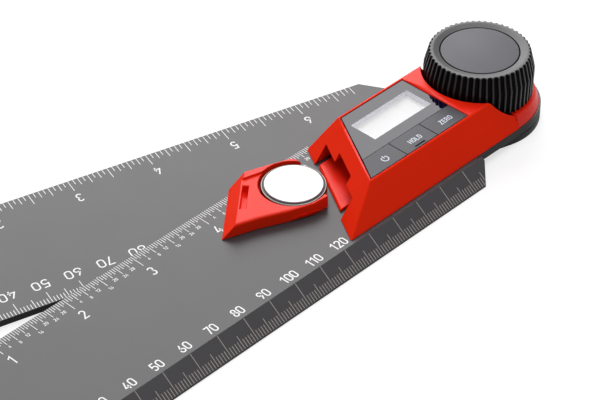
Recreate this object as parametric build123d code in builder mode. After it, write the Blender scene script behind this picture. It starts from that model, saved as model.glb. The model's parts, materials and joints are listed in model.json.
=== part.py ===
from build123d import *
from math import cos, radians, sin, tan
import os

# A digital angle finder: two flat legs with printed scales turn about a hub.
# The hub carries a display housing and a fluted clamp knob. The battery drawer
# has been taken out and lies on the upper leg with its coin cell in it.
# Millimetres. The origin is on the hinge axis, on the plane the tool lies on.
# +X runs from the leg tips to the hub, +Y to the side that the legs open to.

# Legs
leg_length = 200.5
leg_opening = 16.4
flat_half = 20.4
bevel_width = 5.9
bevel_land = 0.5
lower_thickness = 2.1
leg_gap = 0.3
plate_thickness = 2.6
lower_inner_half = 19.3
lower_outer_half = 27.5
lower_end = 25.5
end_cut = 5.0
bar_end = 26.3
side_clearance = 0.3

# Hub
hub_radius = 19.3
pivot_radius = 8.9
running_clearance = 0.06
stud_radius = 3.0
stud_bore_radius = 3.3
stud_head_radius = 7.5
stud_head_thickness = 1.1
stud_neck = 6.4
stud_neck_height = 1.2

# Housing
housing_height = 10.9
housing_reach = 76.8
base_half = 19.3
top_half = 13.7
end_slant = 30.0
end_lean = 10.6
housing_wall = 1.6
roof_thickness = 2.4
edge_chamfer = 0.3
seam_offset = 3.0
knob_clearance = 0.75
cavity_end = 19.6

# Panel, display and keys
panel_border = 0.45
panel_depth = 1.2
panel_sink = 0.2
panel_right = 19.9
fascia_thickness = 1.0
window_width = 9.5
window_from_left = 2.5
window_from_right = 3.2
window_from_top = 4.85
key_width = 8.0
key_gap = 0.15
key_pitch = 13.15
key_travel = 0.5
key_shelf = 0.5
stem_length = 5.0
stem_width = 3.6
dome_height = 0.7
dome_radius = 2.4
glass_thickness = 1.6
glass_margin = 1.2
glass_depth = 1.8
frame_wall = 1.0
strip_width = 1.6
board_thickness = 0.8
board_half = 12.6
chip_share = 0.5
header_waist = 0.45
header_foot = 1.2

# Battery drawer and coin cell
cell_radius = 10.0
cell_height = 3.2
cap_radius = 8.8
slot_near = 10.4
drawer_width = 22.2
drawer_gap = 0.3
drawer_length = 33.5
drawer_height = 4.75
drawer_flat = 4.1
drawer_lip = 2.9
drawer_floor = 0.4
drawer_waist = 1.2
foot_length = 1.0
cell_from_front = 27.3
cell_from_near = 10.75
pocket_clearance = 0.1
pocket_wall = 0.7
tail_height = 1.0
rail_near = 0.6
rail_far = 1.1
slot_floor = 0.95
groove_depth = 0.7
groove_setback = 1.0
slot_headroom = 0.25
slot_roof = 0.7
slot_wall = 1.2
leaf_length = 11.4
leaf_width = 3.6
blade_width = 7.6
notch_near = 4.9
notch_width = 9.7
notch_height = 7.1
notch_depth = 3.0
recess_length = 10.6
recess_width = 1.9
recess_depth = 1.5
recess_offset = 5.8
drawer_pull = 25.5
drawer_shift = 6.15
drawer_yaw = -19.6

# Encoder
stator_thickness = 0.9
stator_inner = 9.4
stator_outer = 16.2
encoder_gap = 0.4
rotor_thickness = 0.8
rotor_radius = 15.4
rotor_windows = 8
tab_half = 4.8
tab_reach = 22.6
header_length = 2.0

# Collar, washers and nut
collar_height = 3.9
collar_lean = 1.2
collar_top = 1.1
collar_wall = 1.9
collar_hole = 4.5
thrust_radius = 8.0
thrust_thickness = 1.4
nut_flange_radius = 7.2
nut_flange = 1.0
nut_hex = 11.0
nut_height = 5.7

# Knob
knob_bottom_radius = 16.6
knob_widest_radius = 16.75
knob_rim_radius = 15.35
knob_lift = 0.3
knob_height = 13.9
knob_shoulder = 8.2
knob_flutes = 52
flute_depth = 0.5
rim_chamfer = 0.35
dish_depth = 0.45
knob_wall = 1.9
knob_web = 2.0
boss_radius = 8.4
cap_seat_radius = 12.1
cap_gap = 0.3
cap_thickness = 1.1
cap_sink = 0.45
stop_pocket_radius = 6.3
stop_lift = 0.9
stop_washer_radius = 5.5
stop_washer_thickness = 0.6
stop_head_radius = 2.6
stop_head_height = 0.8

# Housing screws
screw_radius = 0.8
screw_clearance = 0.06
screw_head_radius = 1.6
screw_length = 5.4
boss_wall = 1.0
boss_height = 4.0
near_screws = (62.0, 26.0)
far_screws = (47.0, 26.0)
near_screw_y = -14.0
far_screw_y = 14.9

# Levels worked out from the sizes above
plate_bottom = lower_thickness + leg_gap
leg_top = plate_bottom + plate_thickness
housing_top = leg_top + housing_height
panel_top = housing_top - panel_sink
fascia_bottom = panel_top - fascia_thickness
shelf_bottom = housing_top - roof_thickness
glass_top = panel_top - glass_depth
glass_bottom = glass_top - glass_thickness
collar_level = leg_top + collar_height
slot_bottom = leg_top + slot_floor
slot_top = leg_top + drawer_height + slot_headroom
board_bottom = slot_top + slot_roof
board_top = board_bottom + board_thickness
dome_top = board_top + dome_height
knob_bottom = collar_level + knob_lift
knob_top = knob_bottom + knob_height
outer_edge = flat_half + bevel_width
bar_inner = lower_inner_half + side_clearance
well_radius = knob_widest_radius + knob_clearance
slant = tan(radians(end_slant))
lean_rate = end_lean / housing_height
side_rate = (base_half - top_half) / housing_height

# Planes
swing = Plane(
    origin=(0, 0, 0),
    x_dir=(cos(radians(-leg_opening)), sin(radians(-leg_opening)), 0),
    z_dir=(0, 0, 1),
)
drawer_plane = Plane(
    origin=(-housing_reach - drawer_pull, drawer_shift, leg_top),
    x_dir=(cos(radians(drawer_yaw)), sin(radians(drawer_yaw)), 0),
    z_dir=(0, 0, 1),
)


def half_width(z):
    """Half the housing's width at a level."""
    return base_half - side_rate * (z - leg_top)


def end_x(y, z):
    """Where the slanted end face of the housing is, at a side offset and a level."""
    return -housing_reach + slant * (y + base_half) + lean_rate * (z - leg_top)


def housing_outline(z, inset=0.0, right=seam_offset):
    """Corners of the housing's plan at a level, drawn in by an inset."""
    half = half_width(z) - inset
    shift = inset / cos(radians(end_slant))
    return [
        (end_x(-half, z) + shift, -half),
        (-right, -half),
        (-right, half),
        (end_x(half, z) + shift, half),
    ]


def panel_outline(gap=0.0):
    """Corners of the sunk panel on the housing's roof."""
    half = top_half - panel_border - gap
    shift = (panel_border + gap) / cos(radians(end_slant))
    return [
        (end_x(-half, housing_top) + shift, -half),
        (-panel_right - gap, -half),
        (-panel_right - gap, half),
        (end_x(half, housing_top) + shift, half),
    ]


def strip_along_end(y_low, y_high, x_low, x_high, z):
    """A plan strip whose short ends follow the slant of the end face."""
    return [
        (end_x(y_low, z) + x_low, y_low),
        (end_x(y_low, z) + x_high, y_low),
        (end_x(y_high, z) + x_high, y_high),
        (end_x(y_high, z) + x_low, y_high),
    ]


panel_half = top_half - panel_border
key_edge = -panel_half + key_width
key_splits = (panel_right + key_pitch, panel_right + 2 * key_pitch)
window_top = panel_half - window_from_top
window_left = end_x(window_top, housing_top) + panel_border / cos(radians(end_slant))
window_left += window_from_left
window_right = -panel_right - window_from_right
window_length = window_right - window_left
window_x = (window_left + window_right) / 2
window_y = window_top - window_width / 2
slot_far = -slot_near + drawer_width + 2 * drawer_gap
slot_width = slot_far + slot_near
slot_corner = end_x(-slot_near + drawer_gap, leg_top)
cell_x = slot_corner + cell_from_front
cell_y = -slot_near + drawer_gap + cell_from_near
tail_radius = cell_radius + pocket_clearance + pocket_wall
slot_end = cell_x + tail_radius + drawer_gap
floor_near = -slot_near + 2 * drawer_gap + rail_near + drawer_waist
floor_setback = foot_length + drawer_gap / 2
floor_far = slot_far - 2 * drawer_gap - rail_far
screw_spots = [(-x, near_screw_y) for x in near_screws] + [(-x, far_screw_y) for x in far_screws]

# Upper leg: a flat plate with a bar under its scale edge, which is bevelled
with BuildPart() as upper_leg:
    with BuildSketch(Plane.XY.offset(plate_bottom)):
        with BuildLine():
            Polyline(
                (0, -hub_radius),
                (-bar_end + end_cut, -hub_radius),
                (-bar_end, -flat_half),
                (-leg_length, -flat_half),
                (-leg_length, flat_half),
                (-bar_end, flat_half),
                (-bar_end + end_cut, hub_radius),
                (0, hub_radius),
            )
            ThreePointArc((0, hub_radius), (hub_radius, 0), (0, -hub_radius))
        make_face()
    extrude(amount=plate_thickness)
    with BuildSketch(Plane.YZ.offset(-leg_length)):
        with BuildLine():
            Polyline(
                (-bar_inner, 0),
                (-outer_edge, 0),
                (-outer_edge, bevel_land),
                (-flat_half, leg_top),
                (-bar_inner, leg_top),
                close=True,
            )
        make_face()
    extrude(amount=leg_length - bar_end + end_cut)
    with BuildSketch():
        with BuildLine():
            Polyline(
                (-bar_end, -outer_edge),
                (-bar_end + outer_edge - bar_inner, -bar_inner),
                (-bar_end + outer_edge, -bar_inner),
                (-bar_end + outer_edge, -outer_edge),
                close=True,
            )
        make_face()
    extrude(amount=plate_bottom, mode=Mode.SUBTRACT)
    with BuildSketch():
        with BuildLine():
            Polyline(
                (-bar_end, -outer_edge),
                (-bar_end + outer_edge - hub_radius, -hub_radius),
                (-bar_end + outer_edge, -hub_radius),
                (-bar_end + outer_edge, -outer_edge),
                close=True,
            )
        make_face()
    extrude(amount=leg_top, mode=Mode.SUBTRACT)
    with Locations((0, 0, leg_top)):
        Hole(radius=pivot_radius + running_clearance)
    with Locations(Plane(origin=(0, 0, plate_bottom), x_dir=(1, 0, 0), z_dir=(0, 0, -1))):
        with Locations(*[(x, -y) for x, y in screw_spots]):
            CounterSinkHole(
                radius=screw_radius + screw_clearance,
                counter_sink_radius=screw_head_radius + screw_clearance,
                depth=plate_thickness,
            )
upper_leg.part.label = "upper_leg"

# Lower leg: a thinner plate with the pivot boss, which the upper leg turns on
with BuildPart() as lower_leg:
    with BuildSketch(swing):
        with BuildLine():
            Polyline(
                (0, -lower_inner_half),
                (-leg_length, -lower_inner_half),
                (-leg_length, lower_outer_half),
                (-lower_end, lower_outer_half),
                (-lower_end + lower_outer_half - lower_inner_half, lower_inner_half),
                (0, lower_inner_half),
            )
            ThreePointArc((0, lower_inner_half), (lower_inner_half, 0), (0, -lower_inner_half))
        make_face()
    extrude(amount=lower_thickness)
    with BuildSketch(swing.offset(lower_thickness)):
        Circle(pivot_radius)
    extrude(amount=leg_top + stator_thickness + encoder_gap - lower_thickness)
    with Locations((0, 0, leg_top + stator_thickness + encoder_gap)):
        Hole(radius=stud_bore_radius)
    with BuildSketch(swing):
        Circle(stud_head_radius + side_clearance)
    extrude(amount=stud_head_thickness, mode=Mode.SUBTRACT)
    with BuildSketch(swing):
        Rectangle(stud_neck + 2 * running_clearance, stud_neck + 2 * running_clearance)
    extrude(amount=stud_head_thickness + stud_neck_height + leg_gap, mode=Mode.SUBTRACT)
lower_leg.part.label = "lower_leg"

# Friction washer between the two legs
with BuildPart() as friction_washer:
    with BuildSketch(Plane.XY.offset(lower_thickness)):
        Circle(stator_outer)
        Circle(stator_inner, mode=Mode.SUBTRACT)
    extrude(amount=leg_gap)
friction_washer.part.label = "friction_washer"

# Hinge stud: a flat head under the lower leg, a square neck that keys into it,
# and a shank that goes up through the hub to the knob's nut
nut_bottom = collar_level + thrust_thickness
web_bottom = nut_bottom + nut_flange + nut_height
web_top = web_bottom + knob_web
stud_top = web_top + stop_lift
with BuildPart() as hinge_stud:
    with BuildSketch(swing):
        Circle(stud_head_radius)
    extrude(amount=stud_head_thickness)
    with BuildSketch(swing.offset(stud_head_thickness)):
        Rectangle(stud_neck, stud_neck)
    extrude(amount=stud_neck_height)
    with BuildSketch(swing):
        Circle(stud_radius)
    extrude(amount=stud_top)
    chamfer(hinge_stud.faces().sort_by(Axis.Z)[0].edges().filter_by(GeomType.CIRCLE), length=0.3)
hinge_stud.part.label = "hinge_stud"

# Encoder: a ring board on the upper leg and a disc on the pivot boss
with BuildPart() as encoder_stator:
    with BuildSketch(Plane.XY.offset(leg_top)):
        Circle(stator_outer)
        with Locations((-tab_reach / 2 - stator_inner / 2, 0)):
            Rectangle(tab_reach - stator_inner, 2 * tab_half)
        Circle(stator_inner, mode=Mode.SUBTRACT)
    extrude(amount=stator_thickness)
encoder_stator.part.label = "encoder_stator"

rotor_bottom = leg_top + stator_thickness + encoder_gap
with BuildPart() as encoder_rotor:
    with BuildSketch(swing.offset(rotor_bottom)):
        Circle(rotor_radius)
        Circle(stud_bore_radius, mode=Mode.SUBTRACT)
        with PolarLocations((pivot_radius + rotor_radius) / 2 + 0.6, rotor_windows):
            Rectangle(3.2, 1.6, mode=Mode.SUBTRACT)
    extrude(amount=rotor_thickness)
encoder_rotor.part.label = "encoder_rotor"

# Pin header that joins the ring board to the main board
with BuildPart() as board_link:
    with BuildSketch(Plane.XY.offset(leg_top + stator_thickness)):
        with Locations((-tab_reach + header_length / 2 + 0.3, 0)):
            Rectangle(header_length, 2 * tab_half - 0.6)
    extrude(amount=board_bottom - leg_top - stator_thickness)
    with BuildSketch(Plane.XY.offset(leg_top + stator_thickness + header_foot)):
        with Locations((-tab_reach + 0.3, 0), (-tab_reach + 0.3 + header_length, 0)):
            Rectangle(2 * header_waist, 2 * tab_half)
    extrude(amount=board_bottom - leg_top - stator_thickness - 2 * header_foot,
            mode=Mode.SUBTRACT)
board_link.part.label = "board_link"

# Hub collar: a cone skirt round the hub with a flat top under the knob
with BuildPart() as collar_trim:
    with BuildSketch(Plane.XY.offset(leg_top)):
        with Locations((-base_half, 0)):
            Rectangle(2 * base_half - 2 * seam_offset + 2 * 0.05, 4 * base_half)
        Circle(well_radius - 0.1, mode=Mode.SUBTRACT)
    extrude(amount=collar_height)

with BuildPart() as hub_collar:
    with BuildSketch(Plane.XZ):
        with BuildLine():
            Polyline(
                (collar_hole, collar_level),
                (base_half - collar_lean, collar_level),
                (base_half, leg_top),
                (well_radius - collar_wall + 0.9, leg_top),
                (well_radius - collar_wall + 0.9, collar_level - collar_top),
                (collar_hole, collar_level - collar_top),
                close=True,
            )
        make_face()
    revolve(axis=Axis.Z)
    add(collar_trim.part, mode=Mode.SUBTRACT)
    with BuildSketch(Plane.XY.offset(leg_top)):
        with Locations((-well_radius, 0)):
            Rectangle(6, 2 * tab_half + 0.8)
    extrude(amount=collar_height - collar_top, mode=Mode.SUBTRACT)
hub_collar.part.label = "hub_collar"

# Display housing: a faceted shell on the upper leg
with BuildPart() as housing:
    with BuildSketch(Plane.XY.offset(leg_top)):
        Polygon(*housing_outline(leg_top), align=None)
    with BuildSketch(Plane.XY.offset(housing_top)):
        Polygon(*housing_outline(housing_top), align=None)
    loft()
    outer_edges = housing.edges().filter_by(lambda e: e.center().X < -seam_offset - 0.1)
    chamfer(outer_edges.filter_by(lambda e: e.center().Z > leg_top + 0.1), length=edge_chamfer)

    # hollow inside, between the walls and under the roof
    with BuildSketch(Plane.XY.offset(leg_top)):
        Polygon(*housing_outline(leg_top, housing_wall, cavity_end), align=None)
    with BuildSketch(Plane.XY.offset(shelf_bottom)):
        Polygon(*housing_outline(shelf_bottom, housing_wall, cavity_end), align=None)
    loft(mode=Mode.SUBTRACT)

    # drawer cage, the block behind the thumb notch, and the screw bosses
    with BuildSketch(Plane.XY.offset(leg_top)):
        Polygon(
            (end_x(-slot_near - slot_wall, leg_top) + 0.4, -slot_near - slot_wall),
            (slot_end + slot_wall, -slot_near - slot_wall),
            (slot_end + slot_wall, slot_far + slot_wall),
            (end_x(slot_far + slot_wall, leg_top) + 0.4, slot_far + slot_wall),
            align=None,
        )
        Polygon(*strip_along_end(-notch_near - slot_wall, notch_width - notch_near + slot_wall,
                                 0.4, lean_rate * notch_height + notch_depth + slot_wall, leg_top),
                align=None)
    extrude(amount=board_bottom - leg_top)
    with BuildSketch(Plane.XY.offset(board_bottom)):
        Polygon(*strip_along_end(-notch_near - slot_wall, notch_width - notch_near + slot_wall,
                                 lean_rate * drawer_height, notch_depth + slot_wall
                                 + lean_rate * notch_height, leg_top), align=None)
    extrude(amount=shelf_bottom - board_bottom)
    with BuildSketch(Plane.XY.offset(leg_top)):
        with Locations(*screw_spots):
            Circle(screw_radius + boss_wall)
    extrude(amount=boss_height)

    # what is outside the slanted end face goes again
    with BuildPart(mode=Mode.PRIVATE) as end_block:
        reach = 20
        with BuildSketch(Plane.XY.offset(leg_top)):
            Polygon(*strip_along_end(-base_half - 5, base_half + 5, -reach, 0, leg_top), align=None)
        with BuildSketch(Plane.XY.offset(housing_top)):
            Polygon(*strip_along_end(-base_half - 5, base_half + 5, -reach, 0, housing_top),
                    align=None)
        loft()
    add(end_block.part, mode=Mode.SUBTRACT)

    # drawer slot and thumb notch
    with BuildSketch(Plane.XY.offset(leg_top)):
        with Locations(((slot_end - housing_reach - 10) / 2, (slot_far - slot_near) / 2)):
            Rectangle(housing_reach + 10 + slot_end, slot_width)
    extrude(amount=slot_top - leg_top, mode=Mode.SUBTRACT)
    with BuildSketch(Plane.XY.offset(slot_top)):
        Polygon(*strip_along_end(-notch_near, notch_width - notch_near, -10,
                                 lean_rate * notch_height + notch_depth, leg_top), align=None)
    extrude(amount=leg_top + notch_height - slot_top, mode=Mode.SUBTRACT)

    # guide groove down the slot's far wall, just inside and parallel to the end face
    with BuildPart(mode=Mode.PRIVATE) as guide_groove:
        with BuildSketch(Plane.XY.offset(leg_top)):
            Polygon(*strip_along_end(slot_far - groove_depth, slot_far + groove_depth,
                                     groove_setback, groove_setback + groove_depth, leg_top),
                    align=None)
        with BuildSketch(Plane.XY.offset(slot_top)):
            Polygon(*strip_along_end(slot_far - groove_depth, slot_far + groove_depth,
                                     groove_setback, groove_setback + groove_depth, slot_top),
                    align=None)
        loft()
    add(guide_groove.part, mode=Mode.SUBTRACT)

    # floor tongue that the drawer's body slides on, with a rounded front edge
    with BuildSketch(Plane.XY.offset(leg_top)):
        Polygon(
            (end_x(floor_near, leg_top) + floor_setback, floor_near),
            (slot_end + slot_wall, floor_near),
            (slot_end + slot_wall, floor_far),
            (end_x(floor_far, leg_top) + floor_setback, floor_far),
            align=None,
        )
    extrude(amount=slot_floor)
    tongue_front = housing.edges().filter_by(
        lambda e: abs(e.center().Z - slot_bottom) < 0.01
        and abs(e.center().X - end_x(e.center().Y, leg_top) - floor_setback) < 0.02)
    fillet(tongue_front, radius=slot_floor - 0.1)

    # sunk panel, display window and key holes in the shelf
    with BuildSketch(Plane.XY.offset(housing_top - panel_depth)):
        Polygon(*panel_outline(), align=None)
    extrude(amount=panel_depth, mode=Mode.SUBTRACT)
    with BuildSketch(Plane.XY.offset(shelf_bottom)):
        with Locations((window_x, window_y)):
            Rectangle(window_length + 2 * (glass_margin + frame_wall) + 0.4,
                      window_width + 2 * (glass_margin + frame_wall) + 0.4)
    extrude(amount=roof_thickness, mode=Mode.SUBTRACT)
    with BuildSketch(Plane.XY.offset(shelf_bottom + key_shelf)):
        shelf_corners = panel_outline()
        Polygon(
            shelf_corners[0],
            shelf_corners[1],
            (-panel_right, key_edge),
            (shelf_corners[0][0] + slant * key_width, key_edge),
            align=None,
        )
    extrude(amount=roof_thickness, mode=Mode.SUBTRACT)
    key_bounds = (panel_right,) + key_splits + (-shelf_corners[0][0] - slant * key_width / 2,)
    key_centres = [-(key_bounds[i] + key_bounds[i + 1]) / 2 for i in range(3)]
    with BuildSketch(Plane.XY.offset(shelf_bottom)):
        with Locations(*[(x, key_edge - key_width / 2) for x in key_centres]):
            Rectangle(stem_length + 2 * key_gap, stem_width + 2 * key_gap)
    extrude(amount=roof_thickness, mode=Mode.SUBTRACT)

    # contact windows in the cage, header slot and the round well of the knob
    with BuildSketch(Plane.XY.offset(slot_top)):
        with Locations((cell_x, cell_y)):
            Rectangle(leaf_length + 1, leaf_width + 0.8)
        with Locations((slot_end - 0.3, cell_y)):
            Rectangle(1.2, blade_width + 0.8)
    extrude(amount=slot_roof, mode=Mode.SUBTRACT)
    with BuildSketch(Plane.XY.offset(leg_top)):
        with Locations((-cavity_end, 0)):
            Rectangle(8, 2 * tab_half + 0.8)
    extrude(amount=board_bottom - leg_top, mode=Mode.SUBTRACT)
    with BuildSketch(Plane.XY.offset(leg_top)):
        Circle(well_radius)
    extrude(amount=housing_height, mode=Mode.SUBTRACT)
    with BuildSketch(Plane.XY.offset(leg_top)):
        with Locations(*screw_spots):
            Circle(screw_radius + screw_clearance)
    extrude(amount=screw_length - plate_thickness + 0.4, mode=Mode.SUBTRACT)
housing.part.label = "housing"

# Screws that hold the housing from under the plate
with BuildPart() as housing_screws:
    for x, y in screw_spots:
        with BuildSketch(Plane(origin=(x, y, 0), x_dir=(1, 0, 0), z_dir=(0, -1, 0))):
            with BuildLine():
                Polyline(
                    (0, plate_bottom + 0.05),
                    (screw_head_radius, plate_bottom + 0.05),
                    (screw_radius, plate_bottom + 0.05 + screw_head_radius - screw_radius),
                    (screw_radius, plate_bottom + screw_length),
                    (0, plate_bottom + screw_length),
                    close=True,
                )
            make_face()
        revolve(axis=Axis((x, y, 0), (0, 0, 1)))
housing_screws.part.label = "housing_screws"

# Display fascia: the glossy grey plate round the window
with BuildPart() as display_fascia:
    corners = panel_outline(key_gap)
    with BuildSketch(Plane.XY.offset(fascia_bottom)):
        Polygon(
            (corners[0][0] + slant * (key_width + key_gap / 2), key_edge + key_gap / 2),
            (corners[1][0], key_edge + key_gap / 2),
            corners[2],
            corners[3],
            align=None,
        )
        with Locations((window_x, window_y)):
            Rectangle(window_length, window_width, mode=Mode.SUBTRACT)
    extrude(amount=fascia_thickness)
display_fascia.part.label = "display_fascia"

# Clear pane in the fascia's window
with BuildPart() as display_window:
    with BuildSketch(Plane.XY.offset(panel_top - 0.7)):
        with Locations((window_x, window_y)):
            Rectangle(window_length, window_width)
    extrude(amount=0.65)
display_window.part.label = "display_window"

# White frame that holds the display glass over the board
with BuildPart() as display_frame:
    with BuildSketch(Plane.XY.offset(board_top)):
        with Locations((window_x, window_y)):
            Rectangle(window_length + 2 * (glass_margin + frame_wall),
                      window_width + 2 * (glass_margin + frame_wall))
    extrude(amount=fascia_bottom - board_top)
    with BuildSketch(Plane.XY.offset(board_top)):
        with Locations((window_x, window_y)):
            Rectangle(window_length + 2 * glass_margin, window_width + 2 * glass_margin)
    extrude(amount=glass_top - board_top, mode=Mode.SUBTRACT)
    with BuildSketch(Plane.XY.offset(glass_top)):
        with Locations((window_x, window_y)):
            Rectangle(window_length, window_width)
    extrude(amount=fascia_bottom - glass_top, mode=Mode.SUBTRACT)
display_frame.part.label = "display_frame"

# Display glass and the two rubber connector strips under it
with BuildPart() as display_glass:
    with BuildSketch(Plane.XY.offset(glass_bottom)):
        with Locations((window_x, window_y)):
            Rectangle(window_length + 2 * glass_margin - 0.1, window_width + 2 * glass_margin - 0.1)
    extrude(amount=glass_thickness)
    chamfer(display_glass.edges().filter_by(Axis.Z), length=0.5)
display_glass.part.label = "display_glass"

strip_y = window_width / 2 + glass_margin - strip_width / 2 - 0.1
with BuildPart() as connector_strips:
    with BuildSketch(Plane.XY.offset(board_top)):
        with Locations((window_x, window_y + strip_y), (window_x, window_y - strip_y)):
            Rectangle(window_length, strip_width)
    extrude(amount=glass_bottom - board_top)
connector_strips.part.label = "connector_strips"

# Main board, its chip and the key domes
board_left = lean_rate * notch_height + notch_depth + slot_wall + 0.3
with BuildPart() as circuit_board:
    with BuildSketch(Plane.XY.offset(board_bottom)):
        Polygon(
            (end_x(-board_half, leg_top) + board_left, -board_half),
            (-cavity_end - 0.2, -board_half),
            (-cavity_end - 0.2, board_half),
            (end_x(board_half, leg_top) + board_left, board_half),
            align=None,
        )
    extrude(amount=board_thickness)
circuit_board.part.label = "circuit_board"

chip_room = -cavity_end - slot_end - slot_wall
chip_size = chip_share * chip_room
with BuildPart() as controller_chip:
    with BuildSketch(Plane.XY.offset(board_bottom - 1.2)):
        with Locations((-cavity_end - chip_room / 2, board_half - chip_size / 2 - 1)):
            Rectangle(chip_size, chip_size)
    extrude(amount=1.2)
controller_chip.part.label = "controller_chip"

with BuildPart() as key_domes:
    with BuildSketch(Plane.XY.offset(board_top)):
        with Locations(*[(x, key_edge - key_width / 2) for x in key_centres]):
            RegularPolygon(radius=dome_radius, side_count=8)
    extrude(amount=dome_height, taper=50)
key_domes.part.label = "key_domes"


def key_outline(low, high):
    """Corners of one key cap between two of the row's dividing lines."""
    near = -panel_half + key_gap
    far = key_edge - key_gap / 2
    if high is None:
        corner = panel_outline(key_gap)[0][0]
        return [(corner, near), (-low - key_gap / 2, near), (-low - key_gap / 2, far),
                (corner + slant * (far - near), far)]
    left = -high + key_gap / 2
    right = -low - key_gap / 2
    return [(left, near), (right, near), (right, far), (left, far)]


def make_key(low, high, centre, name):
    """A flat key cap with a stem that reaches down to its dome."""
    with BuildPart() as key:
        with BuildSketch(Plane.XY.offset(panel_top - fascia_thickness)):
            Polygon(*key_outline(low, high), align=None)
        extrude(amount=fascia_thickness)
        with BuildSketch(Plane.XY.offset(dome_top + key_travel)):
            with Locations((centre, key_edge - key_width / 2)):
                Rectangle(stem_length, stem_width)
        extrude(amount=panel_top - fascia_thickness - dome_top - key_travel)
    key.part.label = name
    return key


zero_key = make_key(panel_right + key_gap / 2, key_splits[0], key_centres[0], "zero_key")
hold_key = make_key(key_splits[0], key_splits[1], key_centres[1], "hold_key")
power_key = make_key(key_splits[1], None, key_centres[2], "power_key")

# Battery contacts: a leaf over the cell and a blade at the end of the slot
with BuildPart() as negative_contact:
    with BuildSketch(Plane.XZ.offset(-cell_y - leaf_width / 2)):
        with BuildLine():
            leaf = Polyline(
                (cell_x - leaf_length / 2, board_bottom - 0.1),
                (cell_x - leaf_length / 4, board_bottom - 0.1),
                (cell_x - 1.0, slot_top + 0.15),
                (cell_x + 1.0, slot_top + 0.15),
                (cell_x + leaf_length / 2, board_bottom - 0.3),
            )
            offset(amount=0.1, side=Side.BOTH)
        make_face()
    extrude(amount=leaf_width)
negative_contact.part.label = "negative_contact"

with BuildPart() as positive_contact:
    with BuildSketch(Plane.XY.offset(slot_bottom + 0.3)):
        with Locations((slot_end - 0.15, cell_y)):
            Rectangle(0.3, blade_width)
    extrude(amount=board_bottom - slot_bottom - 0.3)
positive_contact.part.label = "positive_contact"

# Battery drawer, drawn in its own frame: X goes into the housing, Y across it
front_normal = drawer_plane.rotated((0, 0, -end_slant))
front_section = Plane(origin=drawer_plane.origin, x_dir=front_normal.x_dir,
                      z_dir=-front_normal.y_dir)


def drawer_outline(z):
    """Corners of the drawer's plan at a height over its own foot."""
    front = lean_rate * z
    return [
        (front + slant * drawer_waist, drawer_waist),
        (12, drawer_waist),
        (20, 0),
        (29, 0),
        (drawer_length, drawer_waist),
        (drawer_length, drawer_width - 3.4),
        (drawer_length - 0.9, drawer_width - 0.8),
        (drawer_length - 2.2, drawer_width),
        (front + slant * drawer_width, drawer_width),
    ]


with BuildPart() as battery_drawer:
    with BuildSketch(drawer_plane):
        Polygon(*drawer_outline(0), align=None)
    with BuildSketch(drawer_plane.offset(drawer_height)):
        Polygon(*drawer_outline(drawer_height), align=None)
    loft()
    with BuildSketch(drawer_plane.offset(slot_floor)):
        with Locations((cell_from_front, cell_from_near)):
            Circle(tail_radius)
    extrude(amount=drawer_floor + tail_height)
    # top beside the raised far lip, and the lip's sloped outer edge
    with BuildSketch(drawer_plane.offset(drawer_flat)):
        Polygon(
            (-5, -1),
            (drawer_length + 1, -1),
            (drawer_length + 1, cell_from_near),
            (cell_from_front, cell_from_near),
            (slant * drawer_width + 9.5, drawer_width - drawer_lip),
            (slant * drawer_width - 5, drawer_width - drawer_lip),
            align=None,
        )
    extrude(amount=drawer_height, mode=Mode.SUBTRACT)
    # groove under the body, which leaves a foot in front and a rail at each side
    with BuildSketch(front_section):
        Polygon(
            (foot_length * cos(radians(end_slant)), -1),
            (foot_length * cos(radians(end_slant)), 0.3),
            (foot_length * cos(radians(end_slant)) + slot_floor - 0.3, slot_floor),
            (60, slot_floor),
            (60, -1),
            align=None,
        )
    groove = extrude(amount=40, both=True, mode=Mode.PRIVATE)
    with BuildPart(mode=Mode.PRIVATE) as groove_band:
        with BuildSketch(drawer_plane.offset(-0.5)):
            Polygon(
                (-1, drawer_waist + rail_near),
                (60, drawer_waist + rail_near),
                (60, drawer_width - rail_far),
                (-1, drawer_width - rail_far),
                align=None,
            )
        extrude(amount=slot_floor + 1)
    add(groove.intersect(groove_band.part), mode=Mode.SUBTRACT)
    # cell pocket with a hole in its floor
    with BuildSketch(drawer_plane.offset(slot_floor + drawer_floor)):
        with Locations((cell_from_front, cell_from_near)):
            Circle(cell_radius + pocket_clearance)
    extrude(amount=drawer_height, mode=Mode.SUBTRACT)
    with BuildSketch(drawer_plane):
        with Locations((cell_from_front, cell_from_near)):
            Circle(cell_radius - 3)
    extrude(amount=drawer_height, mode=Mode.SUBTRACT)
    # recess for a fingernail behind the front face
    with BuildSketch(drawer_plane.offset(drawer_flat - recess_depth)):
        with Locations(Location((recess_offset + slant * drawer_width / 2, drawer_width / 2 + 0.4),
                                90 - end_slant)):
            Rectangle(recess_length, recess_width)
    extrude(amount=drawer_height, mode=Mode.SUBTRACT)
battery_drawer.part.label = "battery_drawer"

# Coin cell: a can with a crimped rim and a smaller cap on top
with BuildPart() as coin_cell:
    cell_plane = Plane(
        origin=drawer_plane.from_local_coords(
            Vector(cell_from_front, cell_from_near, slot_floor + drawer_floor)),
        x_dir=drawer_plane.x_dir,
        z_dir=drawer_plane.z_dir,
    )
    with BuildSketch(Plane(origin=cell_plane.origin, x_dir=cell_plane.x_dir,
                           z_dir=-cell_plane.y_dir)):
        with BuildLine():
            Polyline(
                (0, 0),
                (cell_radius - 0.3, 0),
                (cell_radius, 0.3),
                (cell_radius, cell_height - 0.7),
                (cell_radius - 0.5, cell_height - 0.3),
                (cap_radius + 0.2, cell_height - 0.6),
                (cap_radius, cell_height),
                (0, cell_height),
                close=True,
            )
        make_face()
    revolve(axis=Axis(cell_plane.origin, cell_plane.z_dir))
coin_cell.part.label = "coin_cell"

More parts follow.
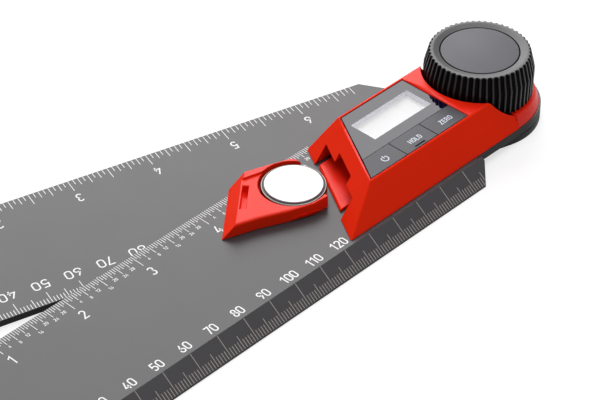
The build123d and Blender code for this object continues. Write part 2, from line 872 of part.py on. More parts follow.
# Thrust washer between the collar and the nut
with BuildPart() as thrust_washer:
    with BuildSketch(Plane.XY.offset(collar_level)):
        Circle(thrust_radius)
        Circle(stud_bore_radius, mode=Mode.SUBTRACT)
    extrude(amount=thrust_thickness)
thrust_washer.part.label = "thrust_washer"

# Clamp nut: a flanged hexagon that is held in the knob's boss
with BuildPart() as clamp_nut:
    with BuildSketch(Plane.XY.offset(nut_bottom)):
        Circle(nut_flange_radius)
    extrude(amount=nut_flange)
    with BuildSketch(Plane.XY.offset(nut_bottom + nut_flange)):
        RegularPolygon(radius=nut_hex / 2, side_count=6, major_radius=False)
    extrude(amount=nut_height)
    with Locations((0, 0, nut_bottom + nut_flange + nut_height)):
        Hole(radius=stud_radius + running_clearance)
clamp_nut.part.label = "clamp_nut"

# Knob body: a fluted cup with a web and a boss for the nut
cap_seat = knob_top - cap_sink - cap_thickness


def fluted_outline(radius):
    """Points of a round outline with ridges on a radius and flutes between them."""
    outline = []
    for index in range(2 * knob_flutes):
        turn = radians(180 * index / knob_flutes)
        reach = radius - flute_depth * (index % 2)
        outline.append((reach * cos(turn), reach * sin(turn)))
    return outline


with BuildPart() as knob_body:
    with BuildSketch(Plane.XY.offset(knob_bottom)):
        Polygon(*fluted_outline(knob_bottom_radius), align=None)
    with BuildSketch(Plane.XY.offset(knob_bottom + knob_shoulder)):
        Polygon(*fluted_outline(knob_widest_radius), align=None)
    loft(ruled=True)
    with BuildSketch(Plane.XY.offset(knob_bottom + knob_shoulder)):
        Polygon(*fluted_outline(knob_widest_radius), align=None)
    with BuildSketch(Plane.XY.offset(knob_top)):
        Polygon(*fluted_outline(knob_rim_radius), align=None)
    loft(ruled=True)
    # edge of the rim, the dish inside it and the seat of the cap
    with BuildSketch(Plane.XZ):
        with BuildLine():
            Polyline(
                (knob_rim_radius - 2 * rim_chamfer, knob_top),
                (knob_rim_radius + 1, knob_top - rim_chamfer - 0.5),
                (knob_rim_radius + 1, knob_top + 1),
                (0, knob_top + 1),
                (0, cap_seat),
                (cap_seat_radius, cap_seat),
                (cap_seat_radius, knob_top - dish_depth),
                (knob_rim_radius - 1.2, knob_top - 0.1),
                close=True,
            )
        make_face()
    revolve(axis=Axis.Z, mode=Mode.SUBTRACT)
    # hollow under the web, round the boss, and the pocket of the stop washer
    with BuildSketch(Plane.XY.offset(knob_bottom)):
        Circle(knob_bottom_radius - knob_wall)
        Circle(boss_radius, mode=Mode.SUBTRACT)
    extrude(amount=web_bottom - 0.5 - knob_bottom, mode=Mode.SUBTRACT)
    with BuildSketch(Plane.XY.offset(knob_bottom)):
        Circle(boss_radius)
    extrude(amount=nut_bottom + nut_flange - knob_bottom, mode=Mode.SUBTRACT)
    with BuildSketch(Plane.XY.offset(nut_bottom + nut_flange)):
        RegularPolygon(radius=nut_hex / 2, side_count=6, major_radius=False)
    extrude(amount=nut_height, mode=Mode.SUBTRACT)
    with BuildSketch(Plane.XY.offset(web_top)):
        Circle(stop_pocket_radius)
    extrude(amount=knob_height, mode=Mode.SUBTRACT)
    with BuildSketch(Plane.XY.offset(web_bottom)):
        Circle(stud_bore_radius)
    extrude(amount=knob_web, mode=Mode.SUBTRACT)
knob_body.part.label = "knob_body"

# Cap disc that closes the knob's top
with BuildPart() as knob_cap:
    with BuildSketch(Plane.XY.offset(cap_seat)):
        Circle(cap_seat_radius - cap_gap)
    extrude(amount=cap_thickness)
knob_cap.part.label = "knob_cap"

# Stop washer and screw on the stud's end, which keep the knob from coming off
with BuildPart() as stop_washer:
    with BuildSketch(Plane.XY.offset(stud_top)):
        Circle(stop_washer_radius)
    extrude(amount=stop_washer_thickness)
stop_washer.part.label = "stop_washer"

with BuildPart() as stop_screw:
    with BuildSketch(Plane.XY.offset(stud_top + stop_washer_thickness)):
        Circle(stop_head_radius)
    extrude(amount=stop_head_height)
    with BuildSketch(Plane.XY.offset(stud_top + stop_washer_thickness + stop_head_height / 2)):
        RegularPolygon(radius=1.2, side_count=6)
    extrude(amount=stop_head_height, mode=Mode.SUBTRACT)
stop_screw.part.label = "stop_screw"

pieces = [
    upper_leg, lower_leg, friction_washer, hinge_stud, encoder_stator, encoder_rotor,
    board_link, hub_collar, housing, housing_screws, display_fascia, display_window,
    display_frame, display_glass, connector_strips, circuit_board, controller_chip,
    key_domes, power_key, hold_key, zero_key, negative_contact, positive_contact,
    battery_drawer, coin_cell, thrust_washer, clamp_nut, knob_body,
    knob_cap, stop_washer, stop_screw,
]
os.makedirs("parts", exist_ok=True)
for piece in pieces:
    export_step(piece.part, f"parts/{piece.part.label}.step")
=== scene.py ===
"""Digital angle finder: the looks of the two scale legs, the display housing, the clamp knob,
and the battery drawer that lies on the leg with its coin cell."""

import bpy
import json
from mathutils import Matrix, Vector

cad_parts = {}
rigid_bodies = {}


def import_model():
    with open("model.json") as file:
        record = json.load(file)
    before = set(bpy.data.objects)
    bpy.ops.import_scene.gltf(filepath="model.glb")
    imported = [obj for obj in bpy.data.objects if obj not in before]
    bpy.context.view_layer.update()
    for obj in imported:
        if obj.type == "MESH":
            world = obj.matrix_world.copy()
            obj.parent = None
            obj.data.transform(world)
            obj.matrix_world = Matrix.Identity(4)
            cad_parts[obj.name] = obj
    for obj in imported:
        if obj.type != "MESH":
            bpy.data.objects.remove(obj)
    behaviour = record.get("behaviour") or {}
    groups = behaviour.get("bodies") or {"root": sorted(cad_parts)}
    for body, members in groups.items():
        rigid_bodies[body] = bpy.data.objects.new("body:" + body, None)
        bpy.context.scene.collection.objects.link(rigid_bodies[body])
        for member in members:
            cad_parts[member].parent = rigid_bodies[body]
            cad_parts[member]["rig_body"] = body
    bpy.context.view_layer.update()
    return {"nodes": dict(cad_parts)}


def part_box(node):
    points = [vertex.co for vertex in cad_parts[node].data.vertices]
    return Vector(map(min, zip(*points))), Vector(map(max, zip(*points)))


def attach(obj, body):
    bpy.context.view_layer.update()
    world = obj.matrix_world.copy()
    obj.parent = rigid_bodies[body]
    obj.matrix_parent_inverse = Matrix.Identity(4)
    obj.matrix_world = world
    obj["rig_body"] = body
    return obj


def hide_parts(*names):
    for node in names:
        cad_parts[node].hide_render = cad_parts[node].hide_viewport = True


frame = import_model()

import json
import math

import bmesh
import bpy
import numpy as np
from mathutils import Matrix, Vector

bl_info = {
    "name": "Digital Angle Finder",
    "version": (1, 0, 0),
    "blender": (4, 5, 0),
    "location": "View3D > Sidebar > Angle Finder",
    "description": "Builds the visible surfaces, prints and finishes of a digital angle finder",
    "category": "Object",
}

# Sizes and places are in millimetres. Meshes, lamps, the camera and the settings below are in metres.

MM = 0.001
INCH = 25.4
AXIS = 0.01  # Radius of the small flat that closes a turned profile at its axis


def node_box(name):
    """Lowest and highest corner of a CAD node."""
    low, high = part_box(name)
    return np.array(low) / MM, np.array(high) / MM


UPPER_LOW, UPPER_HIGH = node_box("upper_leg")
HOUSING_LOW, HOUSING_HIGH = node_box("housing")
KNOB_LOW, KNOB_HIGH = node_box("knob_body")
CAP_LOW, CAP_HIGH = node_box("knob_cap")
COLLAR_LOW, COLLAR_HIGH = node_box("hub_collar")
CELL_LOW, CELL_HIGH = node_box("coin_cell")
DRAWER_LOW = node_box("battery_drawer")[0]
FASCIA_LOW, FASCIA_HIGH = node_box("display_fascia")
WINDOW_LOW, WINDOW_HIGH = node_box("display_window")
FRAME_LOW, FRAME_HIGH = node_box("display_frame")
POWER_LOW = node_box("power_key")[0]

# Legs
LEG_LENGTH = -UPPER_LOW[0]
BEVEL_LAND = 0.5
LOWER_LEVEL = 2.1
LOWER_OUTER = 27.5
LOWER_INNER = 19.3
FROM_EDGE = 0.1

# Panel with the display and the keys
SLANT = math.tan(math.radians(30))
KEY_GAP = 0.15
PANEL_LEFT = POWER_LOW[0] - KEY_GAP
PANEL_GAP = 0.36
FAR_GAP = 0.14
KEY_NEAR = POWER_LOW[1] + 0.28
FASCIA_TOP = FASCIA_HIGH[2] - 0.08
NOTCH = (-49.59, 10.8)

# Drawer, in its own plan: along it and across it from the cell's centre
CELL_CENTRE = (CELL_LOW + CELL_HIGH) / 2
DRAWER_YAW = math.radians(-19.6)
TO_DRAWER = np.array([[math.cos(DRAWER_YAW), -math.sin(DRAWER_YAW)],
                      [math.sin(DRAWER_YAW), math.cos(DRAWER_YAW)]])
RECESS_LEVEL = DRAWER_LOW[2] + 2.6
TAIL_LEVEL = DRAWER_LOW[2] + 2.35
SAME_LEVEL = 0.03


def length_setting(label, words, default):
    """A size of the object, given in millimetres and kept in metres."""
    return bpy.props.FloatProperty(name=label, description=words, default=default * MM, unit="LENGTH",
                                   precision=5)


def angle_setting(label, words, degrees):
    """An angle, given in degrees."""
    return bpy.props.FloatProperty(name=label, description=words, default=math.radians(degrees),
                                   subtype="ANGLE")


def colour_setting(label, words, default):
    """The colour of a finish."""
    return bpy.props.FloatVectorProperty(name=label, description=words, default=default, size=3,
                                         subtype="COLOR", min=0, max=1)


class AngleFinderScales(bpy.types.PropertyGroup):
    """Sizes of the printed scales."""

    line_width: length_setting("Line width", "Width of a printed line", 0.2)
    film: length_setting("Ink height", "Height of the ink over the leg", 0.015)
    numeral_height: length_setting("Numeral height", "Height of the upper leg's centimetre numerals", 3.2)
    tall_height: length_setting("Tall numeral height", "Height of all other large numerals", 3.6)
    small_height: length_setting("Small numeral height", "Height of the numerals between inches", 1.15)
    stroke: length_setting("Stroke", "Width of the large numerals' strokes", 0.42)
    opening_angle: angle_setting("Opening angle", "Angle between the legs at rest", 16.4)


class AngleFinderKnob(bpy.types.PropertyGroup):
    """Sizes of the clamp knob's grip."""

    flutes: bpy.props.IntProperty(name="Flutes", description="Number of flutes round the knob", default=52)
    flute_depth: length_setting("Flute depth", "Depth of a flute at its middle", 0.75)


class AngleFinderFinishes(bpy.types.PropertyGroup):
    """Colours of the finishes."""

    leg_colour: colour_setting("Legs", "Charcoal plastic of the legs", (0.0445, 0.0415, 0.0455))
    red_colour: colour_setting("Housing", "Red plastic of the housing and drawer", (0.86, 0.016, 0.002))
    knob_colour: colour_setting("Knob", "Near black plastic of the knob", (0.006, 0.0056, 0.0062))
    key_colour: colour_setting("Keys", "Grey plastic of the keys", (0.034, 0.033, 0.043))
    ink_colour: colour_setting("Ink", "White ink of the scales", (0.88, 0.88, 0.88))


class AngleFinderStage(bpy.types.PropertyGroup):
    """Camera and light."""

    azimuth: angle_setting("Azimuth", "Heading of the view, from +Y towards +X", 45.95)
    elevation: angle_setting("Elevation", "Height of the camera over the level", 38.52)
    distance: length_setting("Distance", "From the camera to the aim", 696.3)
    lens: bpy.props.FloatProperty(name="Lens", description="Focal length", default=142.6, unit="CAMERA")
    back_light: bpy.props.FloatProperty(name="Back light", description="Power of the lamp behind",
                                        default=10.0, unit="POWER")
    top_light: bpy.props.FloatProperty(name="Top light", description="Power of the lamp above",
                                       default=5.2, unit="POWER")


# Finishes


def add(tree, kind, **values):
    """A node of a kind, with constants on its own sockets, where _ in a socket's name is a space."""
    node = tree.nodes.new("ShaderNode" + kind)
    for socket, value in values.items():
        node.inputs[socket.replace("_", " ")].default_value = value
    return node


def new_material(name, kind, **values):
    """A node material with its tree and its surface's shader of a kind."""
    material = bpy.data.materials.new(name)
    material.use_nodes = True
    tree = material.node_tree
    tree.nodes.clear()
    shader = add(tree, kind, **values)
    tree.links.new(shader.outputs[0], add(tree, "OutputMaterial").inputs["Surface"])
    return material, tree, shader


def noise(tree, scale, detail, roughness=0.5):
    """A noise on the piece's own Object coordinates."""
    texture = add(tree, "TexNoise", Scale=scale, Detail=detail, Roughness=roughness)
    tree.links.new(add(tree, "TexCoord").outputs["Object"], texture.inputs["Vector"])
    return texture.outputs["Fac"]


def spread(tree, source, low, high, target):
    """Gives a socket a number from low to high, as the source goes from nothing to one."""
    span = add(tree, "MapRange", To_Min=low, To_Max=high)
    tree.links.new(source, span.inputs["Value"])
    tree.links.new(span.outputs["Result"], target)


def surface(tree, shader, tone, colour, darker, lighter, relief, strength, depth):
    """The shader's colour, from a darker to a lighter share of it, and bumps of a depth in millimetres."""
    mix = add(tree, "Mix")
    mix.data_type = "RGBA"
    mix.inputs["A"].default_value = [c * darker for c in colour] + [1]
    mix.inputs["B"].default_value = [min(1, c * lighter) for c in colour] + [1]
    bump = add(tree, "Bump", Strength=strength, Distance=depth * MM)
    tree.links.new(tone, mix.inputs["Factor"])
    tree.links.new(mix.outputs["Result"], shader.inputs["Base Color"])
    tree.links.new(relief, bump.inputs["Height"])
    tree.links.new(bump.outputs["Normal"], shader.inputs["Normal"])


def grained_plastic(name, colour, roughness, grain, depth, mottle, specular):
    """Moulded plastic: fine bumps of the tool's grain, and slow drifts of tone and gloss."""
    material, tree, shader = new_material(name, "BsdfPrincipled", Specular_IOR_Level=specular)
    fine, slow = noise(tree, 1 / (grain * MM), 3, 0.6), noise(tree, 90, 4)
    slow_share, both = add(tree, "Math"), add(tree, "Math")
    slow_share.operation = "MULTIPLY"
    slow_share.inputs[1].default_value = 0.4
    both.operation = "MULTIPLY_ADD"
    both.inputs[1].default_value = 0.6
    tree.links.new(slow, slow_share.inputs[0])
    tree.links.new(fine, both.inputs[0])
    tree.links.new(slow_share.outputs[0], both.inputs[2])
    surface(tree, shader, both.outputs[0], colour, 1 - mottle, 1 + mottle, fine, 0.6, depth)
    spread(tree, slow, roughness * 0.88, roughness * 1.12, shader.inputs["Roughness"])
    return material


def bare_metal(name, colour, roughness, spacing, depth):
    """Metal with a fine grain that changes its tone, its gloss and its surface a little."""
    material, tree, shader = new_material(name, "BsdfPrincipled", Metallic=1.0)
    grain = noise(tree, 1 / (spacing * MM), 2)
    surface(tree, shader, grain, colour, 0.92, 1.05, grain, 0.4, depth)
    spread(tree, grain, roughness - 0.06, roughness + 0.06, shader.inputs["Roughness"])
    return material


def clear_pane(name):
    """A thin clear pane: little of its own colour, a sharp gloss, and faint dust in its haze."""
    material, tree, shader = new_material(name, "BsdfPrincipled", Base_Color=(0.95, 0.96, 0.98, 1))
    dust = noise(tree, 900, 2)
    spread(tree, dust, 0.06, 0.12, shader.inputs["Alpha"])
    spread(tree, dust, 0.02, 0.06, shader.inputs["Roughness"])
    return material


def finish(name):
    """The material of that name, made when it is first asked for."""
    if name in bpy.data.materials:
        return bpy.data.materials[name]
    looks = bpy.context.scene.angle_finder_finishes
    leg, red, knob = np.array(looks.leg_colour), np.array(looks.red_colour), np.array(looks.knob_colour)
    key, ink = np.array(looks.key_colour), np.array(looks.ink_colour)
    # Colour, roughness, size and depth of the grain, mottle, and specular level
    plastics = {
        "leg_satin": (leg, 0.36, 0.32, 0.014, 0.20, 0.36),
        # Painted shade on the legs' steep faces: a darker, rougher copy of the leg plastic
        "leg_side_painted_shade": (leg * 0.6, 0.5, 0.3, 0.012, 0.2, 0.12),
        "red_satin": (red, 0.34, 0.4, 0.005, 0.05, 0.19),
        # Painted light on the steep red faces: a brighter, less glossy copy of the red
        "red_side_painted_light": (red * (1.08, 1.6, 2), 0.45, 0.4, 0.005, 0.05, 0.04),
        # Painted shade in the knob's flutes: a darker, duller copy of the knob plastic
        "knob_flute_painted_shade": (knob * 0.5, 0.5, 0.3, 0.003, 0.1, 0.04),
        # Painted highlight on the knob's ridges: a lighter, glossier copy of the knob plastic
        "knob_ridge_painted_highlight": (knob * 3, 0.34, 0.3, 0.003, 0.1, 0.36),
        # Painted sheen on the knob's dished rim: a lighter, glossier copy of the knob plastic
        "knob_rim_painted_sheen": (knob * 4, 0.36, 0.3, 0.003, 0.1, 0.5),
        "knob_grain": ((0.024, 0.024, 0.034), 0.44, 0.22, 0.02, 0.16, 0.45),
        "key_matt": (key, 0.42, 0.34, 0.03, 0.3, 0.33),
        "fascia_gloss": ((0.003, 0.002, 0.014), 0.025, 0.6, 0.0001, 0.03, 0.40),
        "scale_ink": (ink, 0.55, 0.2, 0.004, 0.05, 0.4),
        "bevel_ink": ((0.36, 0.33, 0.31), 0.55, 0.2, 0.004, 0.08, 0.4),
        "legend_ink": ((0.60, 0.64, 0.72), 0.5, 0.2, 0.004, 0.04, 0.4),
        # Dark ink of the HOLD bar, and painted shade for the black piece in the panel's gap
        "legend_dark_and_gap_shade": ((0.004, 0.003, 0.003), 0.6, 0.2, 0.004, 0.05, 0.01),
        "bezel_white": ((0.92, 0.91, 0.98), 0.5, 0.4, 0.004, 0.03, 0.4),
        "display_pale": ((0.73, 0.73, 0.73), 0.45, 0.5, 0.001, 0.01, 0.4),
        "board_green": ((0.02, 0.14, 0.06), 0.35, 0.5, 0.01, 0.15, 0.5),
        "resin_black": ((0.015, 0.015, 0.015), 0.5, 0.2, 0.01, 0.1, 0.5),
        "strip_pink": ((0.75, 0.4, 0.42), 0.6, 0.1, 0.01, 0.15, 0.4),
        "washer_white": ((0.8, 0.8, 0.79), 0.45, 0.3, 0.004, 0.05, 0.4),
    }
    # Colour, roughness, and size and depth of the grain
    metals = {
        "cell_cap": ((0.46, 0.46, 0.46), 0.5, 0.5, 0.002),
        "cell_can": ((0.22, 0.20, 0.19), 0.2, 0.3, 0.002),
        "steel": ((0.6, 0.6, 0.61), 0.3, 0.15, 0.004),
    }
    if name in metals:
        return bare_metal(name, *metals[name])
    if name in plastics:
        return grained_plastic(name, *plastics[name])
    return clear_pane(name)


# Meshes


def piece(name, points, faces, look, body, smooth=True):
    """A mesh from points in millimetres and faces, which rides on a CAD body."""
    mesh = bpy.data.meshes.new(name)
    mesh.from_pydata((np.asarray(points, float) * MM).tolist(), [], [list(map(int, f)) for f in faces])
    mesh.validate()
    mesh.polygons.foreach_set("use_smooth", np.full(len(mesh.polygons), smooth))
    mesh.materials.append(finish(look))
    mesh.update()
    thing = bpy.data.objects.new(name, mesh)
    bpy.context.scene.collection.objects.link(thing)
    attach(thing, body)
    return thing


def close(thing, crease=None):
    """Turns a closed piece's faces outwards, and shades edges over a crease in degrees as sharp corners."""
    form = bmesh.new()
    form.from_mesh(thing.data)
    bmesh.ops.recalc_face_normals(form, faces=form.faces)
    for edge in form.edges:
        if crease and len(edge.link_faces) == 2 and edge.calc_face_angle() > math.radians(crease):
            edge.smooth = False
    form.to_mesh(thing.data)
    form.free()


def grid_faces(rows, columns, closed):
    """Quads of a grid whose second direction may close on itself."""
    last = columns if closed else columns - 1
    row, column = np.meshgrid(np.arange(rows - 1), np.arange(last), indexing="ij")
    after = (column + 1) % columns
    quads = np.stack([row * columns + column, row * columns + after,
                      (row + 1) * columns + after, (row + 1) * columns + column], axis=-1)
    return quads.reshape(-1, 4)


def turned(profile, centre, steps, radius_rule=None):
    """A profile of radius and height turned about an upright line through a centre.

    Point (i, k) is at radius r_i and angle k * 2 pi / steps, and height z_i. The rule, if given,
    changes the radius by the angle. A flat face closes each end.
    """
    profile = np.asarray(profile, float)
    angle = np.arange(steps) * 2 * np.pi / steps
    radius = np.repeat(profile[:, :1], steps, axis=1)
    if radius_rule is not None:
        radius = radius_rule(radius, angle[None, :])
    points = np.stack([centre[0] + radius * np.cos(angle), centre[1] + radius * np.sin(angle),
                       np.repeat(profile[:, 1:], steps, axis=1)], axis=-1).reshape(-1, 3)
    faces = grid_faces(len(profile), steps, True).tolist()
    faces.append(list(range(steps))[::-1])
    start = (len(profile) - 1) * steps
    faces.append(list(range(start, start + steps)))
    return points, faces


def rounded(corners, radius, steps=5):
    """A line through corners, each turned with an arc: a quadratic blend of the corner's two sides."""
    corners = np.asarray(corners, float)
    path = [corners[0]]
    t = np.linspace(0, 1, steps)[:, None]
    for before, corner, after in zip(corners[:-2], corners[1:-1], corners[2:]):
        back, ahead = before - corner, after - corner
        back_length, ahead_length = np.linalg.norm(back), np.linalg.norm(ahead)
        cut = min(radius, 0.45 * back_length, 0.45 * ahead_length)
        start = corner + back / back_length * cut
        end = corner + ahead / ahead_length * cut
        path.extend((1 - t) ** 2 * start + 2 * t * (1 - t) * corner + t ** 2 * end)
    path.append(corners[-1])
    return np.array(path)


def stacked_rings(name, rings, look):
    """A plate with a window: four-cornered outlines, each at its height, joined in order and closed."""
    points = np.array([[(x, y, z) for x, y in outline] for outline, z in rings]).reshape(-1, 3)
    faces = grid_faces(len(rings), 4, True).tolist()
    last = 4 * (len(rings) - 1)
    faces += [[last + k, last + (k + 1) % 4, (k + 1) % 4, k] for k in range(4)]
    thing = piece(name, points, faces, look, "display_leg", smooth=False)
    close(thing)
    return thing


def reshape(form, mesh, shape):
    """Moves the corners of a form by a rule on the whole array of their places."""
    form.to_mesh(mesh)
    points = np.empty(len(mesh.vertices) * 3)
    mesh.vertices.foreach_get("co", points)
    mesh.vertices.foreach_set("co", (shape(points.reshape(-1, 3) / MM) * MM).ravel())
    form.clear()
    form.from_mesh(mesh)


def softened(node, name, look, width, segments=2, wider=None, upright=None, steep=0.3, shape=None,
             clamp=True):
    """A merged copy of a CAD node with its sharp edges rounded, in the node's place.

    wider gives the edges' shares of the width from their two ends, and shape moves the corners,
    both on whole arrays in millimetres. upright names a second finish for the faces whose normal
    rises less than steep: a copy of the first, lighter on the red parts and darker on the legs,
    which paints light and shade on those sides. Without clamp every edge gets its full width.
    """
    merge, level, crease, many = 0.002, 0.02, math.radians(28), 12
    source = frame["nodes"][node]
    mesh = bpy.data.meshes.new(name)
    form = bmesh.new()
    form.from_mesh(source.data)
    bmesh.ops.remove_doubles(form, verts=form.verts, dist=merge * MM)
    bmesh.ops.dissolve_limit(form, angle_limit=math.radians(0.6), verts=form.verts, edges=form.edges)
    if shape is not None:
        reshape(form, mesh, shape)
    form.normal_update()
    top = max(corner.co.z for corner in form.verts) - level * MM
    roof = [face for face in form.faces
            if len(face.verts) > many and min(corner.co.z for corner in face.verts) > top]
    bmesh.ops.triangulate(form, faces=roof)
    weight = form.edges.layers.float.new("bevel_weight_edge")
    sharp = [edge for edge in form.edges if len(edge.link_faces) == 2 and edge.calc_face_angle() > crease]
    shares = np.ones(len(sharp))
    if wider is not None:
        ends = np.array([[corner.co for corner in edge.verts] for edge in sharp]) / MM
        shares = wider(ends[:, 0], ends[:, 1])
    for edge, share in zip(sharp, shares):
        edge[weight] = share
    # Painted light and shade: the steep faces take the second copy of the finish, lighter or darker than the
    # tops
    if upright is not None:
        for face in form.faces:
            face.material_index = int(abs(face.normal.z) < steep)
    form.to_mesh(mesh)
    form.free()
    for finish_name in (look, upright) if upright else (look,):
        mesh.materials.append(finish(finish_name))
    mesh.polygons.foreach_set("use_smooth", np.full(len(mesh.polygons), True))
    thing = bpy.data.objects.new(name, mesh)
    bpy.context.scene.collection.objects.link(thing)
    edges = thing.modifiers.new("edges", "BEVEL")
    edges.width = width * MM
    edges.segments = segments
    edges.limit_method = "WEIGHT"
    edges.use_clamp_overlap = clamp
    flats = thing.modifiers.new("flat faces", "WEIGHTED_NORMAL")
    flats.mode = "FACE_AREA"
    flats.weight = 90
    flats.keep_sharp = True
    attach(thing, source["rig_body"])
    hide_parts(node)


# Lettering: a glyph is its width and a list of strokes, each a line of points, in a box 1 high.


def arc(x, y, width, height, start, end, steps=14):
    """Points on an ellipse of two half sizes between two angles in degrees."""
    angle = np.radians(np.linspace(start, end, steps))
    return np.stack([x + width * np.cos(angle), y + height * np.sin(angle)], axis=1)


def line(*points):
    """Points joined by straight runs."""
    return np.array(points, float)


def joined(*runs):
    """Runs of points made one stroke."""
    return np.concatenate(runs)


GLYPHS = {
    "0": (0.56, [joined(arc(0.28, 0.72, 0.22, 0.22, 0, 180), arc(0.28, 0.28, 0.22, 0.22, 180, 360),
                        line((0.5, 0.72)))]),
    "1": (0.46, [line((0.04, 0.72), (0.32, 0.94), (0.32, 0.0))]),
    "2": (0.56, [joined(arc(0.28, 0.72, 0.21, 0.22, 165, -30), line((0.06, 0.06), (0.52, 0.06)))]),
    "3": (0.56, [arc(0.27, 0.73, 0.2, 0.21, 155, -90), arc(0.27, 0.28, 0.22, 0.23, 90, -155)]),
    "4": (0.58, [line((0.36, 0.94), (0.07, 0.26), (0.56, 0.26)), line((0.43, 0.5), (0.43, 0.0))]),
    "5": (0.56, [joined(line((0.48, 0.94), (0.12, 0.94), (0.08, 0.52)),
                        arc(0.27, 0.32, 0.22, 0.26, 115, -150))]),
    "6": (0.56, [arc(0.28, 0.28, 0.22, 0.22, 90, 450), line((0.08, 0.36), (0.35, 0.96))]),
    "7": (0.54, [line((0.06, 0.94), (0.5, 0.94), (0.2, 0.0))]),
    "8": (0.56, [arc(0.28, 0.74, 0.19, 0.2, 0, 360), arc(0.28, 0.28, 0.22, 0.23, 0, 360)]),
    "9": (0.56, [arc(0.28, 0.72, 0.22, 0.22, 0, 360), line((0.48, 0.64), (0.21, 0.04))]),
    "H": (0.62, [line((0.08, 0.0), (0.08, 1.0)), line((0.54, 0.0), (0.54, 1.0)),
                 line((0.08, 0.5), (0.54, 0.5))]),
    "O": (0.64, [joined(arc(0.32, 0.7, 0.24, 0.24, 0, 180), arc(0.32, 0.3, 0.24, 0.24, 180, 360),
                        line((0.56, 0.7)))]),
    "L": (0.52, [line((0.08, 1.0), (0.08, 0.06), (0.5, 0.06))]),
    "D": (0.62, [joined(line((0.08, 0.06), (0.08, 0.94), (0.26, 0.94)),
                        arc(0.28, 0.66, 0.26, 0.28, 90, 0), arc(0.28, 0.34, 0.26, 0.28, 0, -90),
                        line((0.08, 0.06)))]),
    "Z": (0.58, [line((0.06, 0.94), (0.52, 0.94), (0.06, 0.06), (0.54, 0.06))]),
    "E": (0.54, [line((0.5, 0.94), (0.08, 0.94), (0.08, 0.06), (0.5, 0.06)),
                 line((0.08, 0.5), (0.46, 0.5))]),
    "R": (0.6, [joined(line((0.08, 0.0), (0.08, 0.94), (0.3, 0.94)), arc(0.3, 0.72, 0.22, 0.22, 90, -90),
                       line((0.08, 0.5))), line((0.3, 0.5), (0.54, 0.0))]),
}


class Print:
    """Ink on a flat face, gathered into one mesh of flat ribbons, in millimetres.

    along and up span the face, and the ink lies over it by the film's height.
    """

    def __init__(self, origin, along=(1, 0, 0), up=(0, 1, 0)):
        self.origin = np.asarray(origin, float)
        self.along = np.asarray(along, float) / np.linalg.norm(along)
        self.up = np.asarray(up, float) / np.linalg.norm(up)
        self.lift = np.cross(self.along, self.up) * bpy.context.scene.angle_finder_scales.film / MM
        self.points, self.faces, self.count = [], [], 0

    def add(self, flat, quads):
        """Points of the face, and their quads, added to what is there."""
        placed = self.origin + flat[:, :1] * self.along + flat[:, 1:] * self.up + self.lift
        self.points.append(placed)
        self.faces.extend((quads + self.count).tolist())
        self.count += len(placed)

    def ribbon(self, run, width):
        """A ribbon: every point of the run moved half the width to each side, square to the run.

        At a corner it goes out along the mean of the two sides, lengthened by one over the cosine.
        """
        run = np.asarray(run, float)
        step = np.diff(run, axis=0)
        run = run[np.concatenate([[True], np.linalg.norm(step, axis=1) > 1e-6])]
        step = np.diff(run, axis=0)
        step /= np.linalg.norm(step, axis=1)[:, None]
        side = np.stack([-step[:, 1], step[:, 0]], axis=1)
        mean = np.concatenate([side[:1], side[:-1] + side[1:], side[-1:]])
        mean /= np.maximum(np.linalg.norm(mean, axis=1), 1e-6)[:, None]
        first = np.concatenate([side[:1], side])
        reach = width / 2 / np.maximum((mean * first).sum(axis=1), 0.5)
        flat = np.concatenate([run + mean * reach[:, None], run - mean * reach[:, None]])
        n = len(run)
        k = np.arange(n - 1)
        self.add(flat, np.stack([k + n, k + n + 1, k + 1, k], axis=1))

    def ticks(self, places, start, lengths, width):
        """Straight lines across the edge, one at each place, as one array of rectangles."""
        places, lengths = np.asarray(places, float), np.asarray(lengths, float)
        left, right = places - width / 2, places + width / 2
        x = np.stack([left, right, right, left], axis=1)
        y = np.stack([np.full_like(places, start)] * 2 + [start + lengths] * 2, axis=1)
        quads = np.arange(4 * len(places)).reshape(-1, 4)
        if lengths[0] < 0:
            quads = quads[:, ::-1]
        self.add(np.column_stack([x.ravel(), y.ravel()]), quads)

    def words(self, text, centre, height, weight, turned_over=False, squeeze=1.0, gap=0.1):
        """Monoline letters on a base line, centred on a point, upside down if asked."""
        widths = [GLYPHS[c][0] * squeeze for c in text]
        x = -(sum(widths) + gap * (len(text) - 1)) / 2
        sign = -1 if turned_over else 1
        for c, w in zip(text, widths):
            for stroke in GLYPHS[c][1]:
                run = np.stack([x + stroke[:, 0] * squeeze, stroke[:, 1] - 0.5], axis=1)
                self.ribbon(np.asarray(centre) + sign * run * height, weight)
            x += w + gap

    def make(self, name, look, body, slot="white_plastic"):
        """The ink as one piece on a CAD body."""
        piece(name, np.concatenate(self.points), self.faces, look, body, smooth=False)


# Legs and their scales


def legs():
    """Both legs with softened edges, satin above, with painted shade on their sides: a darker, matt copy."""
    for node in ("upper_leg", "lower_leg"):
        softened(node, node + "_moulding", "leg_satin", width=0.18, upright="leg_side_painted_shade")


def bevel_scale(sizes):
    """Millimetres on the upper leg's bevel, which rises from its land to the top."""
    tip, near, flat = UPPER_LOW[0], UPPER_LOW[1], -UPPER_HIGH[1]
    slope = np.array([0, flat - near, UPPER_HIGH[2] - BEVEL_LAND])
    run = np.linalg.norm(slope)
    half, width, clear, last, hidden = 0.55 * run, sizes.line_width / MM * 1.15, 0.2, 175, 1.15
    ink = Print((tip, near, BEVEL_LAND), up=slope)
    places = np.arange(1, last)
    lengths = np.where(places % 10 == 0, run - 0.35, np.where(places % 5 == 0, half, 0.35 * run))
    ink.ticks(places, clear, lengths, width)
    ink.ticks([last], clear + hidden, [half - hidden], width)
    ink.make("bevel_scale", "bevel_ink", "display_leg")


